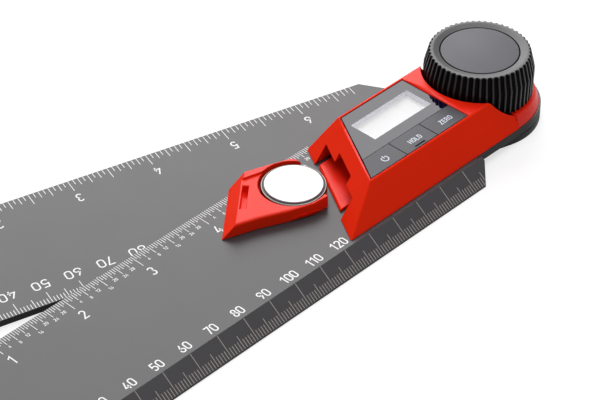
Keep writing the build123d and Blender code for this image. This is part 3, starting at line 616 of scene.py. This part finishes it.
def upper_scales():
    """Millimetres on the bevel with numerals beside it, and thirty-seconds of an inch on the inner edge."""
    sizes = bpy.context.scene.angle_finder_scales
    bevel_scale(sizes)
    stroke, far, parts = sizes.stroke / MM, UPPER_HIGH[1], 32
    centimetre_row, centimetre_shift, inch_row = -17.45, 0.75, far - 8.8
    ink = Print((UPPER_LOW[0], 0, UPPER_HIGH[2]))
    for mark in range(10, 130, 10):
        ink.words(str(mark), (mark + centimetre_shift, centimetre_row), sizes.numeral_height / MM, stroke,
                  gap=0.08)
    last_tick, last_numeral = 147, 144
    part = np.arange(1, parts * 7)
    part = part[part / parts * INCH < last_tick]
    lengths = np.select([part % 32 == 0, part % 16 == 0, part % 8 == 0, part % 4 == 0, part % 2 == 0],
                        [5.3, 4.5, 3.7, 3.1, 2.4], 1.8)
    ink.ticks(part / parts * INCH, far - FROM_EDGE, -lengths, sizes.line_width / MM * 0.95)
    drop = {4: 4.3, 8: 5.0, 12: 4.3, 16: 6.0, 20: 4.3, 24: 5.0, 28: 4.3}
    for inch in range(6):
        for step, down in drop.items():
            at = (inch + step / parts) * INCH
            if at < last_numeral:
                ink.words(str(step), (at, far - down), sizes.small_height / MM, 0.17, gap=0.14)
        if inch > 0:
            ink.words(str(inch), (inch * INCH + 0.1, inch_row), sizes.tall_height / MM, stroke)
    ink.make("upper_scales", "scale_ink", "display_leg")


def lower_scales():
    """Sixteenths on the outer edge and millimetres on the inner edge, both read from the far side."""
    sizes = bpy.context.scene.angle_finder_scales
    turn = -sizes.opening_angle
    stroke, width, height = sizes.stroke / MM, sizes.line_width / MM, sizes.tall_height / MM
    along = np.array([math.cos(turn), math.sin(turn), 0])
    across = np.array([-math.sin(turn), math.cos(turn), 0])
    ink = Print(-along * LEG_LENGTH + (0, 0, LOWER_LEVEL), along, across)
    inch_row, millimetre_row = LOWER_OUTER - 8.6, -11.0
    part = np.arange(1, 109)
    lengths = np.select([part % 16 == 0, part % 8 == 0, part % 4 == 0, part % 2 == 0],
                        [4.9, 4.7, 3.8, 3.1], 2.2)
    ink.ticks(part / 16 * INCH, LOWER_OUTER - FROM_EDGE, -lengths, width)
    for inch in range(1, 7):
        ink.words(str(inch), (inch * INCH, inch_row), height, stroke, turned_over=True)
    places = np.arange(1, 181)
    lengths = np.where(places % 10 == 0, 4.6, np.where(places % 5 == 0, 3.6, 2.1))
    ink.ticks(places, FROM_EDGE - LOWER_INNER, lengths, width)
    for mark in range(10, 180, 10):
        ink.words(str(mark), (mark, millimetre_row), height, stroke, turned_over=True, squeeze=1.2, gap=0.12)
    ink.make("lower_scales", "scale_ink", "scale_leg")


# Housing, drawer and keys


def housing_edges(starts, ends):
    """Shares of the housing's rounding: full at the foot, which leaves a dark line on the leg, else half.

    None along the rim and in the notch, where the rim's own strips lie.
    """
    low, high = np.minimum(starts, ends), np.maximum(starts, ends)

    def notched(points):
        x, y = points[:, 0], points[:, 1]
        upright_side = (abs(x - NOTCH[0]) < 0.03) & (y > NOTCH[1] - 2)
        far_side = (abs(y - NOTCH[1]) < 0.03) & (x < NOTCH[0] + 1.24)
        return upright_side | far_side

    rim = (low[:, 2] > HOUSING_HIGH[2] - 0.05) & (high[:, 0] < FASCIA_HIGH[0] + 0.3)
    foot = high[:, 2] < HOUSING_LOW[2] + 0.05
    return np.where(rim | notched(starts) & notched(ends), 0.0, np.where(foot, 1.0, 0.5))


def rim_strip(name, section, ends, away):
    """A short moulded strip on the housing's rim: a section moved straight from one plan point to another.

    Point (i, k) is at ends_i + d_k * away in plan and at z_k, for the section's points (d_k, z_k).
    """
    ring = rounded(section, 0.14, 4)[:-1]
    count = len(ring)
    plan = np.asarray(ends, float)[:, None, :] + ring[None, :, :1] * np.asarray(away)
    level = np.broadcast_to(ring[None, :, 1:], (2, count, 1))
    points = np.concatenate([plan, level], axis=-1).reshape(-1, 3)
    faces = grid_faces(2, count, True).tolist()
    faces += [list(range(count))[::-1], list(range(count, 2 * count))]
    # The strip takes the steep faces' brighter, less glossy red copy: painted light
    strip = piece(name, points, faces, "red_side_painted_light", "display_leg")
    close(strip, 30)


def rim():
    """The rim over the notch that the display frame's opening leaves, and the bead on its far side."""
    top = HOUSING_HIGH[2]
    slanted = [(NOTCH[0] + 1.29 + SLANT * (y - NOTCH[1]), y) for y in (NOTCH[1] - 2.6, NOTCH[1] + 0.5)]
    outward = (-math.cos(math.radians(30)), math.sin(math.radians(30)))
    patch = [(0.30, top - 0.85), (0.01, top - 0.85), (0.01, top + 0.015), (0.16, top + 0.015),
             (0.655, top - 0.215), (1.17, top - 0.82), (0.30, top - 0.85)]
    rim_strip("rim_patch", patch, slanted, outward)
    far = FASCIA_HIGH[1] - 0.12
    bead = [(0.3, top - 0.6), (0.0, top - 0.6), (0.0, top - 0.12), (0.09, top + 0.03),
            (0.38, top + 0.03), (0.42, top - 0.6), (0.3, top - 0.6)]
    rim_strip("rim_bead", bead, [(-46.98, far), (FASCIA_HIGH[0] + 0.15, far)], (0, 1))


def key_form(points):
    """Draws the keys' near side in, and the power key's slanted side by the panel's gap."""
    x, y, z = points.T
    slanted = abs(x - (POWER_LOW[0] + (y - POWER_LOW[1]) * SLANT)) < 0.4
    return np.column_stack([x + PANEL_GAP * slanted, np.maximum(y, KEY_NEAR), z])


# Each row is a corner of the drawer's solid and its place in the finished form: along, across, height.
DRAWER_CORNERS = np.array([
    (-9.86, 11.45, 9.75, -10.18, 10.7, 9.75),
    (4.0, 11.45, 9.75, 4.2, 10.5, 9.75),
    (5.3, 10.65, 9.75, 5.85, 9.5, 9.6),
    (6.2, 8.05, 9.75, 6.6, 7.75, 8.95),
    (-11.54, 8.55, 9.75, -11.68, 8.1, 9.75),
    (-12.17, 8.55, 9.1, -12.39, 8.1, 9.1),
    (-14.48, 11.45, 5.0, -15.35, 10.75, 5.0),
    (4.0, 11.45, 5.0, 4.2, 10.5, 5.0),
    (5.3, 10.65, 5.0, 5.85, 9.5, 5.0),
    (-26.61, -9.55, 5.0, -27.07, -9.55, 5.0),
    (-22.62, -9.55, 9.1, -22.59, -9.55, 9.1),
    (-7.3, -10.75, 9.1, -7.3, -10.4, 9.1),
    (-7.3, -10.75, 5.0, -7.3, -10.4, 5.0),
    (1.7, -10.75, 9.1, 1.6, -10.65, 9.1),
    (1.7, -10.75, 5.0, 1.6, -10.65, 5.0),
    (6.2, -9.55, 9.1, 6.75, -9.3, 9.1),
    (6.2, -9.55, 5.0, 6.75, -9.3, 5.0),
])


def in_drawer(points):
    """Points in the drawer's own plan, with their height."""
    return np.column_stack([(points[:, :2] - CELL_CENTRE[:2]) @ TO_DRAWER, points[:, 2]])


def drawer_form(points):
    """Moves the table's corners to their places in the finished form.

    The fingernail recess goes a millimetre down. The ring round the cell's end goes 0.9 mm down, and
    its outer wall comes in: a radius r becomes 9.6 plus 0.3 of what r is over the pocket's radius.
    """
    tail_start, ring_start, pocket, wall, slimmer = 6.3, 9.5, 10.1, 9.6, 0.3
    recess_drop, tail_drop, same_corner = 1.0, 0.9, 0.04
    own = in_drawer(points)
    gap = np.abs(own[:, None, :] - DRAWER_CORNERS[None, :, :3]).max(axis=2)
    listed = gap.min(axis=1) < same_corner
    moved = np.where(listed[:, None], DRAWER_CORNERS[gap.argmin(axis=1), 3:], own)
    recess = ~listed & (abs(own[:, 2] - RECESS_LEVEL) < SAME_LEVEL)
    moved[recess, 2] -= recess_drop
    radius = np.maximum(np.hypot(own[:, 0], own[:, 1]), SAME_LEVEL)
    tail = ~listed & ~recess & (own[:, 0] > tail_start) & (radius > ring_start)
    tail &= own[:, 2] < TAIL_LEVEL + SAME_LEVEL
    moved[tail, :2] *= ((wall + (radius - pocket) * slimmer) / radius)[tail, None]
    moved[abs(moved[:, 2] - TAIL_LEVEL) < SAME_LEVEL, 2] -= tail_drop
    return np.column_stack([moved[:, :2] @ TO_DRAWER.T + CELL_CENTRE[:2], moved[:, 2]])


def drawer_edges(starts, ends):
    """Shares of the drawer's rounding: full along the near wall's free top, least at the pocket."""
    starts, ends = in_drawer(starts), in_drawer(ends)
    low, high = np.minimum(starts, ends), np.maximum(starts, ends)
    near = (high[:, 1] < -9) & (low[:, 2] > 9) & (high[:, 0] < -7)
    start_radius, end_radius = np.hypot(starts[:, 0], starts[:, 1]), np.hypot(ends[:, 0], ends[:, 1])
    pocket = np.minimum(start_radius, end_radius) < 10.3
    return np.where(near, 1.0, np.where(pocket, 0.12, 0.3))


def housing():
    """Housing, its rim's strips, the drawer and the keys, with rounded moulded edges."""
    # Painted light: the steep faces of the housing and of the drawer take the brighter, less glossy red copy
    softened("housing", "housing_moulding", "red_satin", width=0.32, wider=housing_edges,
             upright="red_side_painted_light", steep=0.9, clamp=False)
    rim()
    softened("battery_drawer", "drawer_moulding", "red_satin", width=0.9, segments=4,
             wider=drawer_edges, upright="red_side_painted_light", steep=0.9, shape=drawer_form, clamp=False)
    for key in ("power_key", "hold_key", "zero_key"):
        softened(key, key + "_cap", "key_matt", width=0.12, shape=key_form)


# Display and legends


def box_corners(low, high, out=0.0):
    """The four corners of a box in plan, each moved out along both ways."""
    return [(low[0] - out, low[1] - out), (high[0] + out, low[1] - out),
            (high[0] + out, high[1] + out), (low[0] - out, high[1] + out)]


def display():
    """Glossy fascia, the white bezel that rises round the window, and painted shade in the gap beside them.
    """
    mesh = frame["nodes"]["display_fascia"].data
    points = np.empty(len(mesh.vertices) * 3)
    mesh.vertices.foreach_get("co", points)
    points = points.reshape(-1, 3) / MM
    far_left = points[points[:, 1] > FASCIA_HIGH[1] - 0.01, 0].min()
    near, far, left, right = FASCIA_LOW[1], FASCIA_HIGH[1] - FAR_GAP, FASCIA_LOW[0], FASCIA_HIGH[0]
    outer = [(left + PANEL_GAP, near), (right, near), (right, far),
             (far_left - FAR_GAP * SLANT + PANEL_GAP, far)]
    hole, lip, inner = (box_corners(WINDOW_LOW, WINDOW_HIGH, out) for out in (0.1, 0.08, 0.03))
    bottom = FASCIA_LOW[2]
    rings = [(outer, bottom), (outer, FASCIA_TOP), (hole, FASCIA_TOP), (hole, bottom)]
    fascia = stacked_rings("fascia_plate", rings, "fascia_gloss")
    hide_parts("display_fascia")
    wide = box_corners(FRAME_LOW, FRAME_HIGH)
    foot, shelf, lip_top = FRAME_LOW[2], bottom - 0.02, FASCIA_TOP - 0.03
    rings = [(wide, foot), (wide, shelf), (lip, shelf), (lip, lip_top), (inner, lip_top), (inner, foot)]
    bezel = stacked_rings("display_bezel", rings, "bezel_white")
    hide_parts("display_frame")
    panel_seal()


def panel_seal():
    """Painted shade: a black piece filling the gap at the panel's slanted end and along the keys' near edge.

    An L of constant width in plan, from the panel's floor to just under the fascia's top: six corners,
    each a panel corner moved in by nothing or by the piece's width. Its top edge is drawn in a little.
    """
    near, far = POWER_LOW[1] - 0.14, FASCIA_HIGH[1] + 0.13
    left, right = PANEL_LEFT, FASCIA_HIGH[0] + 0.14
    wide = PANEL_GAP + 0.1
    deep, lean = 0.85 * wide, (far - near) * SLANT
    plan = np.array([(left, near), (right, near), (right, near + deep),
                     (left + wide + deep * SLANT, near + deep), (left + wide + lean, far),
                     (left + lean, far)])
    top = FASCIA_HIGH[2] - 0.15
    levels = ((FASCIA_LOW[2] + 0.05, 0.0), (top - 0.07, 0.0), (top, 0.0004))
    count = len(plan)
    points = np.concatenate([np.column_stack([plan + (plan.mean(axis=0) - plan) * drawn,
                                              np.full(count, level)]) for level, drawn in levels])
    faces = grid_faces(len(levels), count, True).tolist()
    faces += [list(range(count))[::-1], list(range(2 * count, 3 * count))]
    # Painted shade: a black piece where the gap's shade falls
    seal = piece("panel_seal", points, faces, "legend_dark_and_gap_shade", "display_leg", smooth=False)
    close(seal)


def key_print(node, shift):
    """Ink for a key's face, and the middle of the key moved by a shift in plan."""
    low, high = node_box(node)
    return Print((0, 0, high[2])), (low + high)[:2] / 2 + shift


def key_legends():
    """Power mark, HOLD with its bar, and ZERO, on the keys' faces."""
    ring, stroke, letter_height, letter_stroke = 1.1, 0.36, 1.78, 0.3
    ink, centre = key_print("power_key", (1.952, -0.288))
    ink.ribbon(centre + arc(0, 0, ring, ring, 125, 415, 28), stroke)
    ink.ribbon(centre + line((0, 0.2), (0, 1.4)), stroke)
    ink.make("power_mark", "legend_ink", "power_button")
    bar, centre = key_print("hold_key", (-0.175, -2.738))
    bar.ribbon(centre + line((-2.1, 0), (2.1, 0)), 0.55)
    bar.make("hold_bar", "legend_dark_and_gap_shade", "hold_button", "black_resin")
    for word, shift in (("HOLD", (0.325, -0.238)), ("ZERO", (0.363, -0.388))):
        key = word.lower()
        ink, centre = key_print(key + "_key", shift)
        ink.words(word, centre, letter_height, letter_stroke, gap=0.14)
        ink.make(key + "_words", "legend_ink", key + "_button")


# Hub and coin cell


def clamp_knob():
    """Fluted knob, its dished rim and the disc in its top, all turned profiles.

    The wall's radius is cut back by a flute: half an ellipse over two thirds of each of the turn's
    equal parts, faded in below the rim. What is left between is a narrow ridge.
    """
    grip = bpy.context.scene.angle_finder_knob
    flutes, depth, steps_each = grip.flutes, grip.flute_depth / MM, 12
    low, high = KNOB_LOW[2], KNOB_HIGH[2]
    widest, shoulder = (KNOB_HIGH[0] - KNOB_LOW[0]) / 2, low + 8.2
    rim_radius, disc_radius = widest - 1.4, (CAP_HIGH[0] - CAP_LOW[0]) / 2
    seat, groove, web = disc_radius + 0.3, CAP_LOW[2], 0.2
    outer = rounded([(AXIS, groove - web), (widest - 2.4, groove - web), (widest - 2.2, low),
                     (widest - 0.15, low), (widest, shoulder), (rim_radius, high - 0.05),
                     (rim_radius - 1.3, high - 0.03), (seat + 0.35, high - 0.42), (seat, high - 0.5),
                     (seat, groove), (AXIS, groove)], 0.3)
    fine = [outer[0]]
    for a, b in zip(outer[:-1], outer[1:]):
        on_wall = min(a[0], b[0]) > rim_radius - 0.5
        parts = max(1, int(np.linalg.norm(b - a) / 1.2)) if on_wall else 1
        fine.extend(a + (b - a) * (k + 1) / parts for k in range(parts))
    profile = np.array(fine)
    fade = np.clip((profile[:, :1] - (rim_radius - 0.45)) / 0.35, 0, 1)

    def scooped(radius, angle):
        phase = (angle * flutes / (2 * np.pi)) % 1
        scoop = np.sqrt(np.clip(1 - ((phase - 0.5) / 0.34) ** 2, 0, 1))
        return radius - depth * fade * scoop

    steps = flutes * steps_each
    points, faces = turned(profile, (0, 0), steps, scooped)
    # The shell's first finish, on the flutes, is painted shade: a darker, duller copy of the knob plastic
    shell = piece("knob_shell", points, faces, "knob_flute_painted_shade", "clamp_knob")
    for look in ("knob_ridge_painted_highlight", "knob_rim_painted_sheen"):
        shell.data.materials.append(finish(look))
    face = np.arange(len(shell.data.polygons))
    row = np.minimum(face // steps, len(profile) - 2)
    part = face % steps_each
    # Painted sheen on the dished top ring
    upper = (profile[row, 1] > high - 0.9) & (profile[row, 0] < rim_radius + 0.2)
    # Painted highlight on the ridges between the flutes
    ridge = (part < 2) | (part > steps_each - 3)
    slots = np.where(upper, 2, np.where(ridge, 1, 0)).astype(np.int32)
    shell.data.polygons.foreach_set("material_index", slots)
    close(shell, 40)
    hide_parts("knob_body")
    top = CAP_HIGH[2]
    profile = rounded([(AXIS, groove), (disc_radius, groove), (disc_radius, top), (AXIS, top)], 0.2)
    points, faces = turned(profile, (0, 0), 128)
    disc = piece("knob_disc", points, faces, "knob_grain", "clamp_knob")
    close(disc, 40)
    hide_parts("knob_cap")


def hub_collar():
    """The collar's cone, a profile turned over the part of the circle in front of the seam.

    Point (i, t) is at angle t * arccos(seam / r_i) for t from -1 to 1, so both ends lie on the seam.
    The cone is drawn in by half a millimetre, less the twelfth power of t, to meet the housing's flank.
    """
    base, low, top, seam = COLLAR_HIGH[0], COLLAR_LOW[2], COLLAR_HIGH[2], -2.95
    inside, hole, plate, draw = base - 2.7, 4.5, 1.1, 0.5
    profile = rounded([(inside, low), (base, low), (base - 1.4, top), (hole, top), (hole, top - plate),
                       (inside, top - plate)], 0.3)
    t = np.linspace(-1, 1, 161)
    drawn_in = np.where(profile[:, :1] > base - 2, draw, 0) * (1 - t[None, :] ** 12)
    radius = profile[:, :1] - drawn_in
    angle = t[None, :] * np.arccos(np.clip(seam / radius, -1, 1))
    level = np.repeat(profile[:, 1:], len(t), axis=1)
    points = np.stack([radius * np.cos(angle), radius * np.sin(angle), level], axis=-1)
    rows, columns = angle.shape
    last = columns * (rows - 1)
    faces = grid_faces(rows, columns, False).tolist()
    faces += [[last + k, last + k + 1, k + 1, k] for k in range(columns - 1)]
    faces.append([columns * i for i in range(rows)])
    faces.append([columns * i + columns - 1 for i in range(rows)][::-1])
    cone = piece("collar_cone", points.reshape(-1, 3), faces, "red_satin", "display_leg")
    close(cone, 40)
    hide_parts("hub_collar")


def coin_cell():
    """The cell's can, its seal and its raised cap, three profiles turned about the cell's own centre."""
    centre = CELL_CENTRE + (0.08, -0.33, 0)
    radius = (CELL_HIGH[0] - CELL_LOW[0]) / 2 - 0.3
    low, high, cap = CELL_LOW[2], CELL_HIGH[2], 0.89 * radius
    under_cap = high - 1.05
    can = rounded([(AXIS, low), (radius, low), (radius, high - 0.95), (radius - 0.28, high - 0.5),
                   (radius - 0.52, high - 0.5), (radius - 0.6, high - 1.0), (AXIS, high - 1.0)], 0.3)
    seal = rounded([(cap - 0.3, under_cap), (radius - 0.5, under_cap), (radius - 0.52, high - 0.6),
                    (cap - 0.3, high - 0.55)], 0.12, 4)
    disc = rounded([(AXIS, under_cap), (cap, under_cap), (cap, high), (AXIS, high)], 0.28, 6)
    shapes = (("cell_can_shell", can, "cell_can"), ("cell_seal_ring", seal, "resin_black"),
              ("cell_cap_disc", disc, "cell_cap"))
    for name, profile, look in shapes:
        points, faces = turned(profile, centre, 144)
        thing = piece(name, points, faces, look, "display_leg")
        close(thing, 50)
        if name == "cell_can_shell":
            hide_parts("coin_cell")


def inner_works():
    """Finishes of the pieces inside, which stay as the CAD gives them."""
    looks = {
        "pane": ("display_window",),
        "display_pale": ("display_glass",),
        "strip_pink": ("connector_strips",),
        "board_green": ("circuit_board", "encoder_stator", "encoder_rotor"),
        "resin_black": ("controller_chip", "board_link"),
        "steel": ("key_domes", "negative_contact", "positive_contact", "housing_screws", "hinge_stud",
                  "thrust_washer", "clamp_nut", "stop_washer", "stop_screw"),
        "washer_white": ("friction_washer",),
    }
    for look, nodes in looks.items():
        for node in nodes:
            data = frame["nodes"][node].data
            if not data.materials:
                data.materials.append(None)
            for index in range(len(data.materials)):
                data.materials[index] = finish(look)


# Stage


def soft_lamp(name, place, target, size, power):
    """A square soft lamp at a place, pointed at a target."""
    place, target = Vector(place), Vector(target)
    data = bpy.data.lights.new(name, "AREA")
    data.shape = "SQUARE"
    data.size = size
    data.energy = power
    lamp = bpy.data.objects.new(name, data)
    lamp.location = place
    lamp.rotation_euler = (target - place).to_track_quat("-Z", "Y").to_euler()
    bpy.context.scene.collection.objects.link(lamp)


def by_ray(tree, lighting, seen):
    """The first shader for rays that light the object, the other for rays that the camera, a gloss or
    a clear pane sends."""
    path, pick = add(tree, "LightPath"), add(tree, "MixShader")
    value = path.outputs["Is Camera Ray"]
    for other in ("Is Glossy Ray", "Is Transmission Ray"):
        larger = add(tree, "Math")
        larger.operation = "MAXIMUM"
        tree.links.new(value, larger.inputs[0])
        tree.links.new(path.outputs[other], larger.inputs[1])
        value = larger.outputs[0]
    for output, socket in zip((value, lighting.outputs[0], seen.outputs[0]), pick.inputs):
        tree.links.new(output, socket)
    return pick.outputs[0]


def camera(view):
    """A level camera that looks at a point between the legs and the hub."""
    aim, right_step, down_step = Vector((-50, 0, 0)) * MM, 19.0 * MM, 4.64 * MM
    az, el = view.azimuth, view.elevation
    ahead = Vector((math.sin(az) * math.cos(el), math.cos(az) * math.cos(el), -math.sin(el)))
    right = Vector((math.cos(az), -math.sin(az), 0))
    up = right.cross(ahead)
    place = aim - ahead * view.distance - right_step * right - down_step * up
    data = bpy.data.cameras.new("camera")
    data.lens = view.lens
    data.sensor_width = 36
    data.clip_start = 0.01
    thing = bpy.data.objects.new("camera", data)
    turn = Matrix((right, up, -ahead)).transposed().to_4x4()
    thing.matrix_world = Matrix.Translation(place) @ turn
    bpy.context.scene.collection.objects.link(thing)
    bpy.context.scene.camera = thing


def floor():
    """A wide floor that looks white, lights nothing and keeps the object's shadow."""
    half, under = 3.0, 0.0001
    mesh = bpy.data.meshes.new("floor")
    corners = [(-half, -half, 0), (half, -half, 0), (half, half, 0), (-half, half, 0)]
    mesh.from_pydata(corners, [], [(0, 1, 2, 3)])
    thing = bpy.data.objects.new("floor", mesh)
    thing.location.z = -under
    bpy.context.scene.collection.objects.link(thing)
    material, tree, total = new_material("floor_pale", "AddShader")
    matt = add(tree, "BsdfDiffuse", Color=(0.4, 0.4, 0.4, 1))
    dark, glow = add(tree, "Emission", Strength=0.0), add(tree, "Emission", Strength=0.66)
    tree.links.new(matt.outputs[0], total.inputs[0])
    tree.links.new(by_ray(tree, dark, glow), total.inputs[1])
    mesh.materials.append(material)


def studio():
    """A world that is seen pale and fills the shadows a little."""
    world = bpy.data.worlds.new("studio")
    world.use_nodes = True
    bpy.context.scene.world = world
    tree = world.node_tree
    tree.nodes.clear()
    fill = add(tree, "Background", Color=(1, 1, 1, 1), Strength=0.28)
    pale = add(tree, "Background", Strength=1.0)
    tree.links.new(by_ray(tree, fill, pale), add(tree, "OutputWorld").inputs["Surface"])


def stage():
    """Camera, pale floor, pale world and two soft lamps."""
    view = bpy.context.scene.angle_finder_stage
    camera(view)
    floor()
    studio()
    soft_lamp("back_lamp", (0.42, 0.72, 0.66), (-0.08, 0, 0), 0.9, view.back_light)
    soft_lamp("top_lamp", (0.12, -0.08, 1.0), (-0.06, 0, 0), 0.8, view.top_light)
    bpy.context.scene.view_settings.view_transform = "Standard"


# Add-on


class ANGLEFINDER_OT_stage(bpy.types.Operator):
    """Camera, floor, world and lamps."""

    bl_idname = "angle_finder.stage"
    bl_label = "Stage"

    def execute(self, context):
        stage()
        return {"FINISHED"}


class ANGLEFINDER_OT_legs(bpy.types.Operator):
    """Softened legs in satin plastic."""

    bl_idname = "angle_finder.legs"
    bl_label = "Legs"

    def execute(self, context):
        legs()
        return {"FINISHED"}


class ANGLEFINDER_OT_upper_scales(bpy.types.Operator):
    """Printed scales of the upper leg."""

    bl_idname = "angle_finder.upper_scales"
    bl_label = "Upper leg scales"

    def execute(self, context):
        upper_scales()
        return {"FINISHED"}


class ANGLEFINDER_OT_lower_scales(bpy.types.Operator):
    """Printed scales of the lower leg."""

    bl_idname = "angle_finder.lower_scales"
    bl_label = "Lower leg scales"

    def execute(self, context):
        lower_scales()
        return {"FINISHED"}


class ANGLEFINDER_OT_housing(bpy.types.Operator):
    """Moulded red pieces and key caps."""

    bl_idname = "angle_finder.housing"
    bl_label = "Housing, drawer and keys"

    def execute(self, context):
        housing()
        return {"FINISHED"}


class ANGLEFINDER_OT_hub_collar(bpy.types.Operator):
    """Cone collar round the hub."""

    bl_idname = "angle_finder.hub_collar"
    bl_label = "Hub collar"

    def execute(self, context):
        hub_collar()
        return {"FINISHED"}


class ANGLEFINDER_OT_clamp_knob(bpy.types.Operator):
    """Fluted knob and its disc."""

    bl_idname = "angle_finder.clamp_knob"
    bl_label = "Clamp knob"

    def execute(self, context):
        clamp_knob()
        return {"FINISHED"}


class ANGLEFINDER_OT_coin_cell(bpy.types.Operator):
    """Can, seal and cap of the coin cell."""

    bl_idname = "angle_finder.coin_cell"
    bl_label = "Coin cell"

    def execute(self, context):
        coin_cell()
        return {"FINISHED"}


class ANGLEFINDER_OT_display(bpy.types.Operator):
    """Fascia, bezel and the painted shade in the panel's gap."""

    bl_idname = "angle_finder.display"
    bl_label = "Display"

    def execute(self, context):
        display()
        return {"FINISHED"}


class ANGLEFINDER_OT_key_legends(bpy.types.Operator):
    """Marks and words on the keys."""

    bl_idname = "angle_finder.key_legends"
    bl_label = "Key legends"

    def execute(self, context):
        key_legends()
        return {"FINISHED"}


class ANGLEFINDER_OT_inner_works(bpy.types.Operator):
    """Finishes of the pieces inside."""

    bl_idname = "angle_finder.inner_works"
    bl_label = "Inner works"

    def execute(self, context):
        inner_works()
        return {"FINISHED"}


OPERATORS = (
    ANGLEFINDER_OT_stage, ANGLEFINDER_OT_legs, ANGLEFINDER_OT_upper_scales, ANGLEFINDER_OT_lower_scales,
    ANGLEFINDER_OT_housing, ANGLEFINDER_OT_hub_collar, ANGLEFINDER_OT_clamp_knob,
    ANGLEFINDER_OT_coin_cell, ANGLEFINDER_OT_display, ANGLEFINDER_OT_key_legends,
    ANGLEFINDER_OT_inner_works,
)
GROUPS = {
    "angle_finder_scales": AngleFinderScales,
    "angle_finder_knob": AngleFinderKnob,
    "angle_finder_finishes": AngleFinderFinishes,
    "angle_finder_stage": AngleFinderStage,
}


class ANGLEFINDER_PT_panel(bpy.types.Panel):
    """Lists the sizes, the finishes and the steps."""

    bl_label = "Angle Finder"
    bl_space_type = "VIEW_3D"
    bl_region_type = "UI"
    bl_category = "Angle Finder"

    def draw(self, context):
        for group in GROUPS:
            settings = getattr(context.scene, group)
            box = self.layout.box()
            for name in settings.__annotations__:
                box.prop(settings, name)
        for operator in OPERATORS:
            self.layout.operator(operator.bl_idname)


def register():
    """Registers the groups, the steps and the panel."""
    for cls in (*GROUPS.values(), *OPERATORS, ANGLEFINDER_PT_panel):
        bpy.utils.register_class(cls)
    for name, group in GROUPS.items():
        setattr(bpy.types.Scene, name, bpy.props.PointerProperty(type=group))


def unregister():
    """Takes them out again."""
    for name in GROUPS:
        delattr(bpy.types.Scene, name)
    for cls in (ANGLEFINDER_PT_panel, *reversed(OPERATORS), *reversed(GROUPS.values())):
        bpy.utils.unregister_class(cls)


def main():
    """Runs every step in order."""
    register()
    steps = bpy.ops.angle_finder
    steps.stage()
    steps.legs()
    steps.upper_scales()
    steps.lower_scales()
    steps.housing()
    steps.hub_collar()
    steps.clamp_knob()
    steps.coin_cell()
    steps.display()
    steps.key_legends()
    steps.inner_works()
    bpy.context.view_layer.update()


if __name__ == "__main__":
    main()
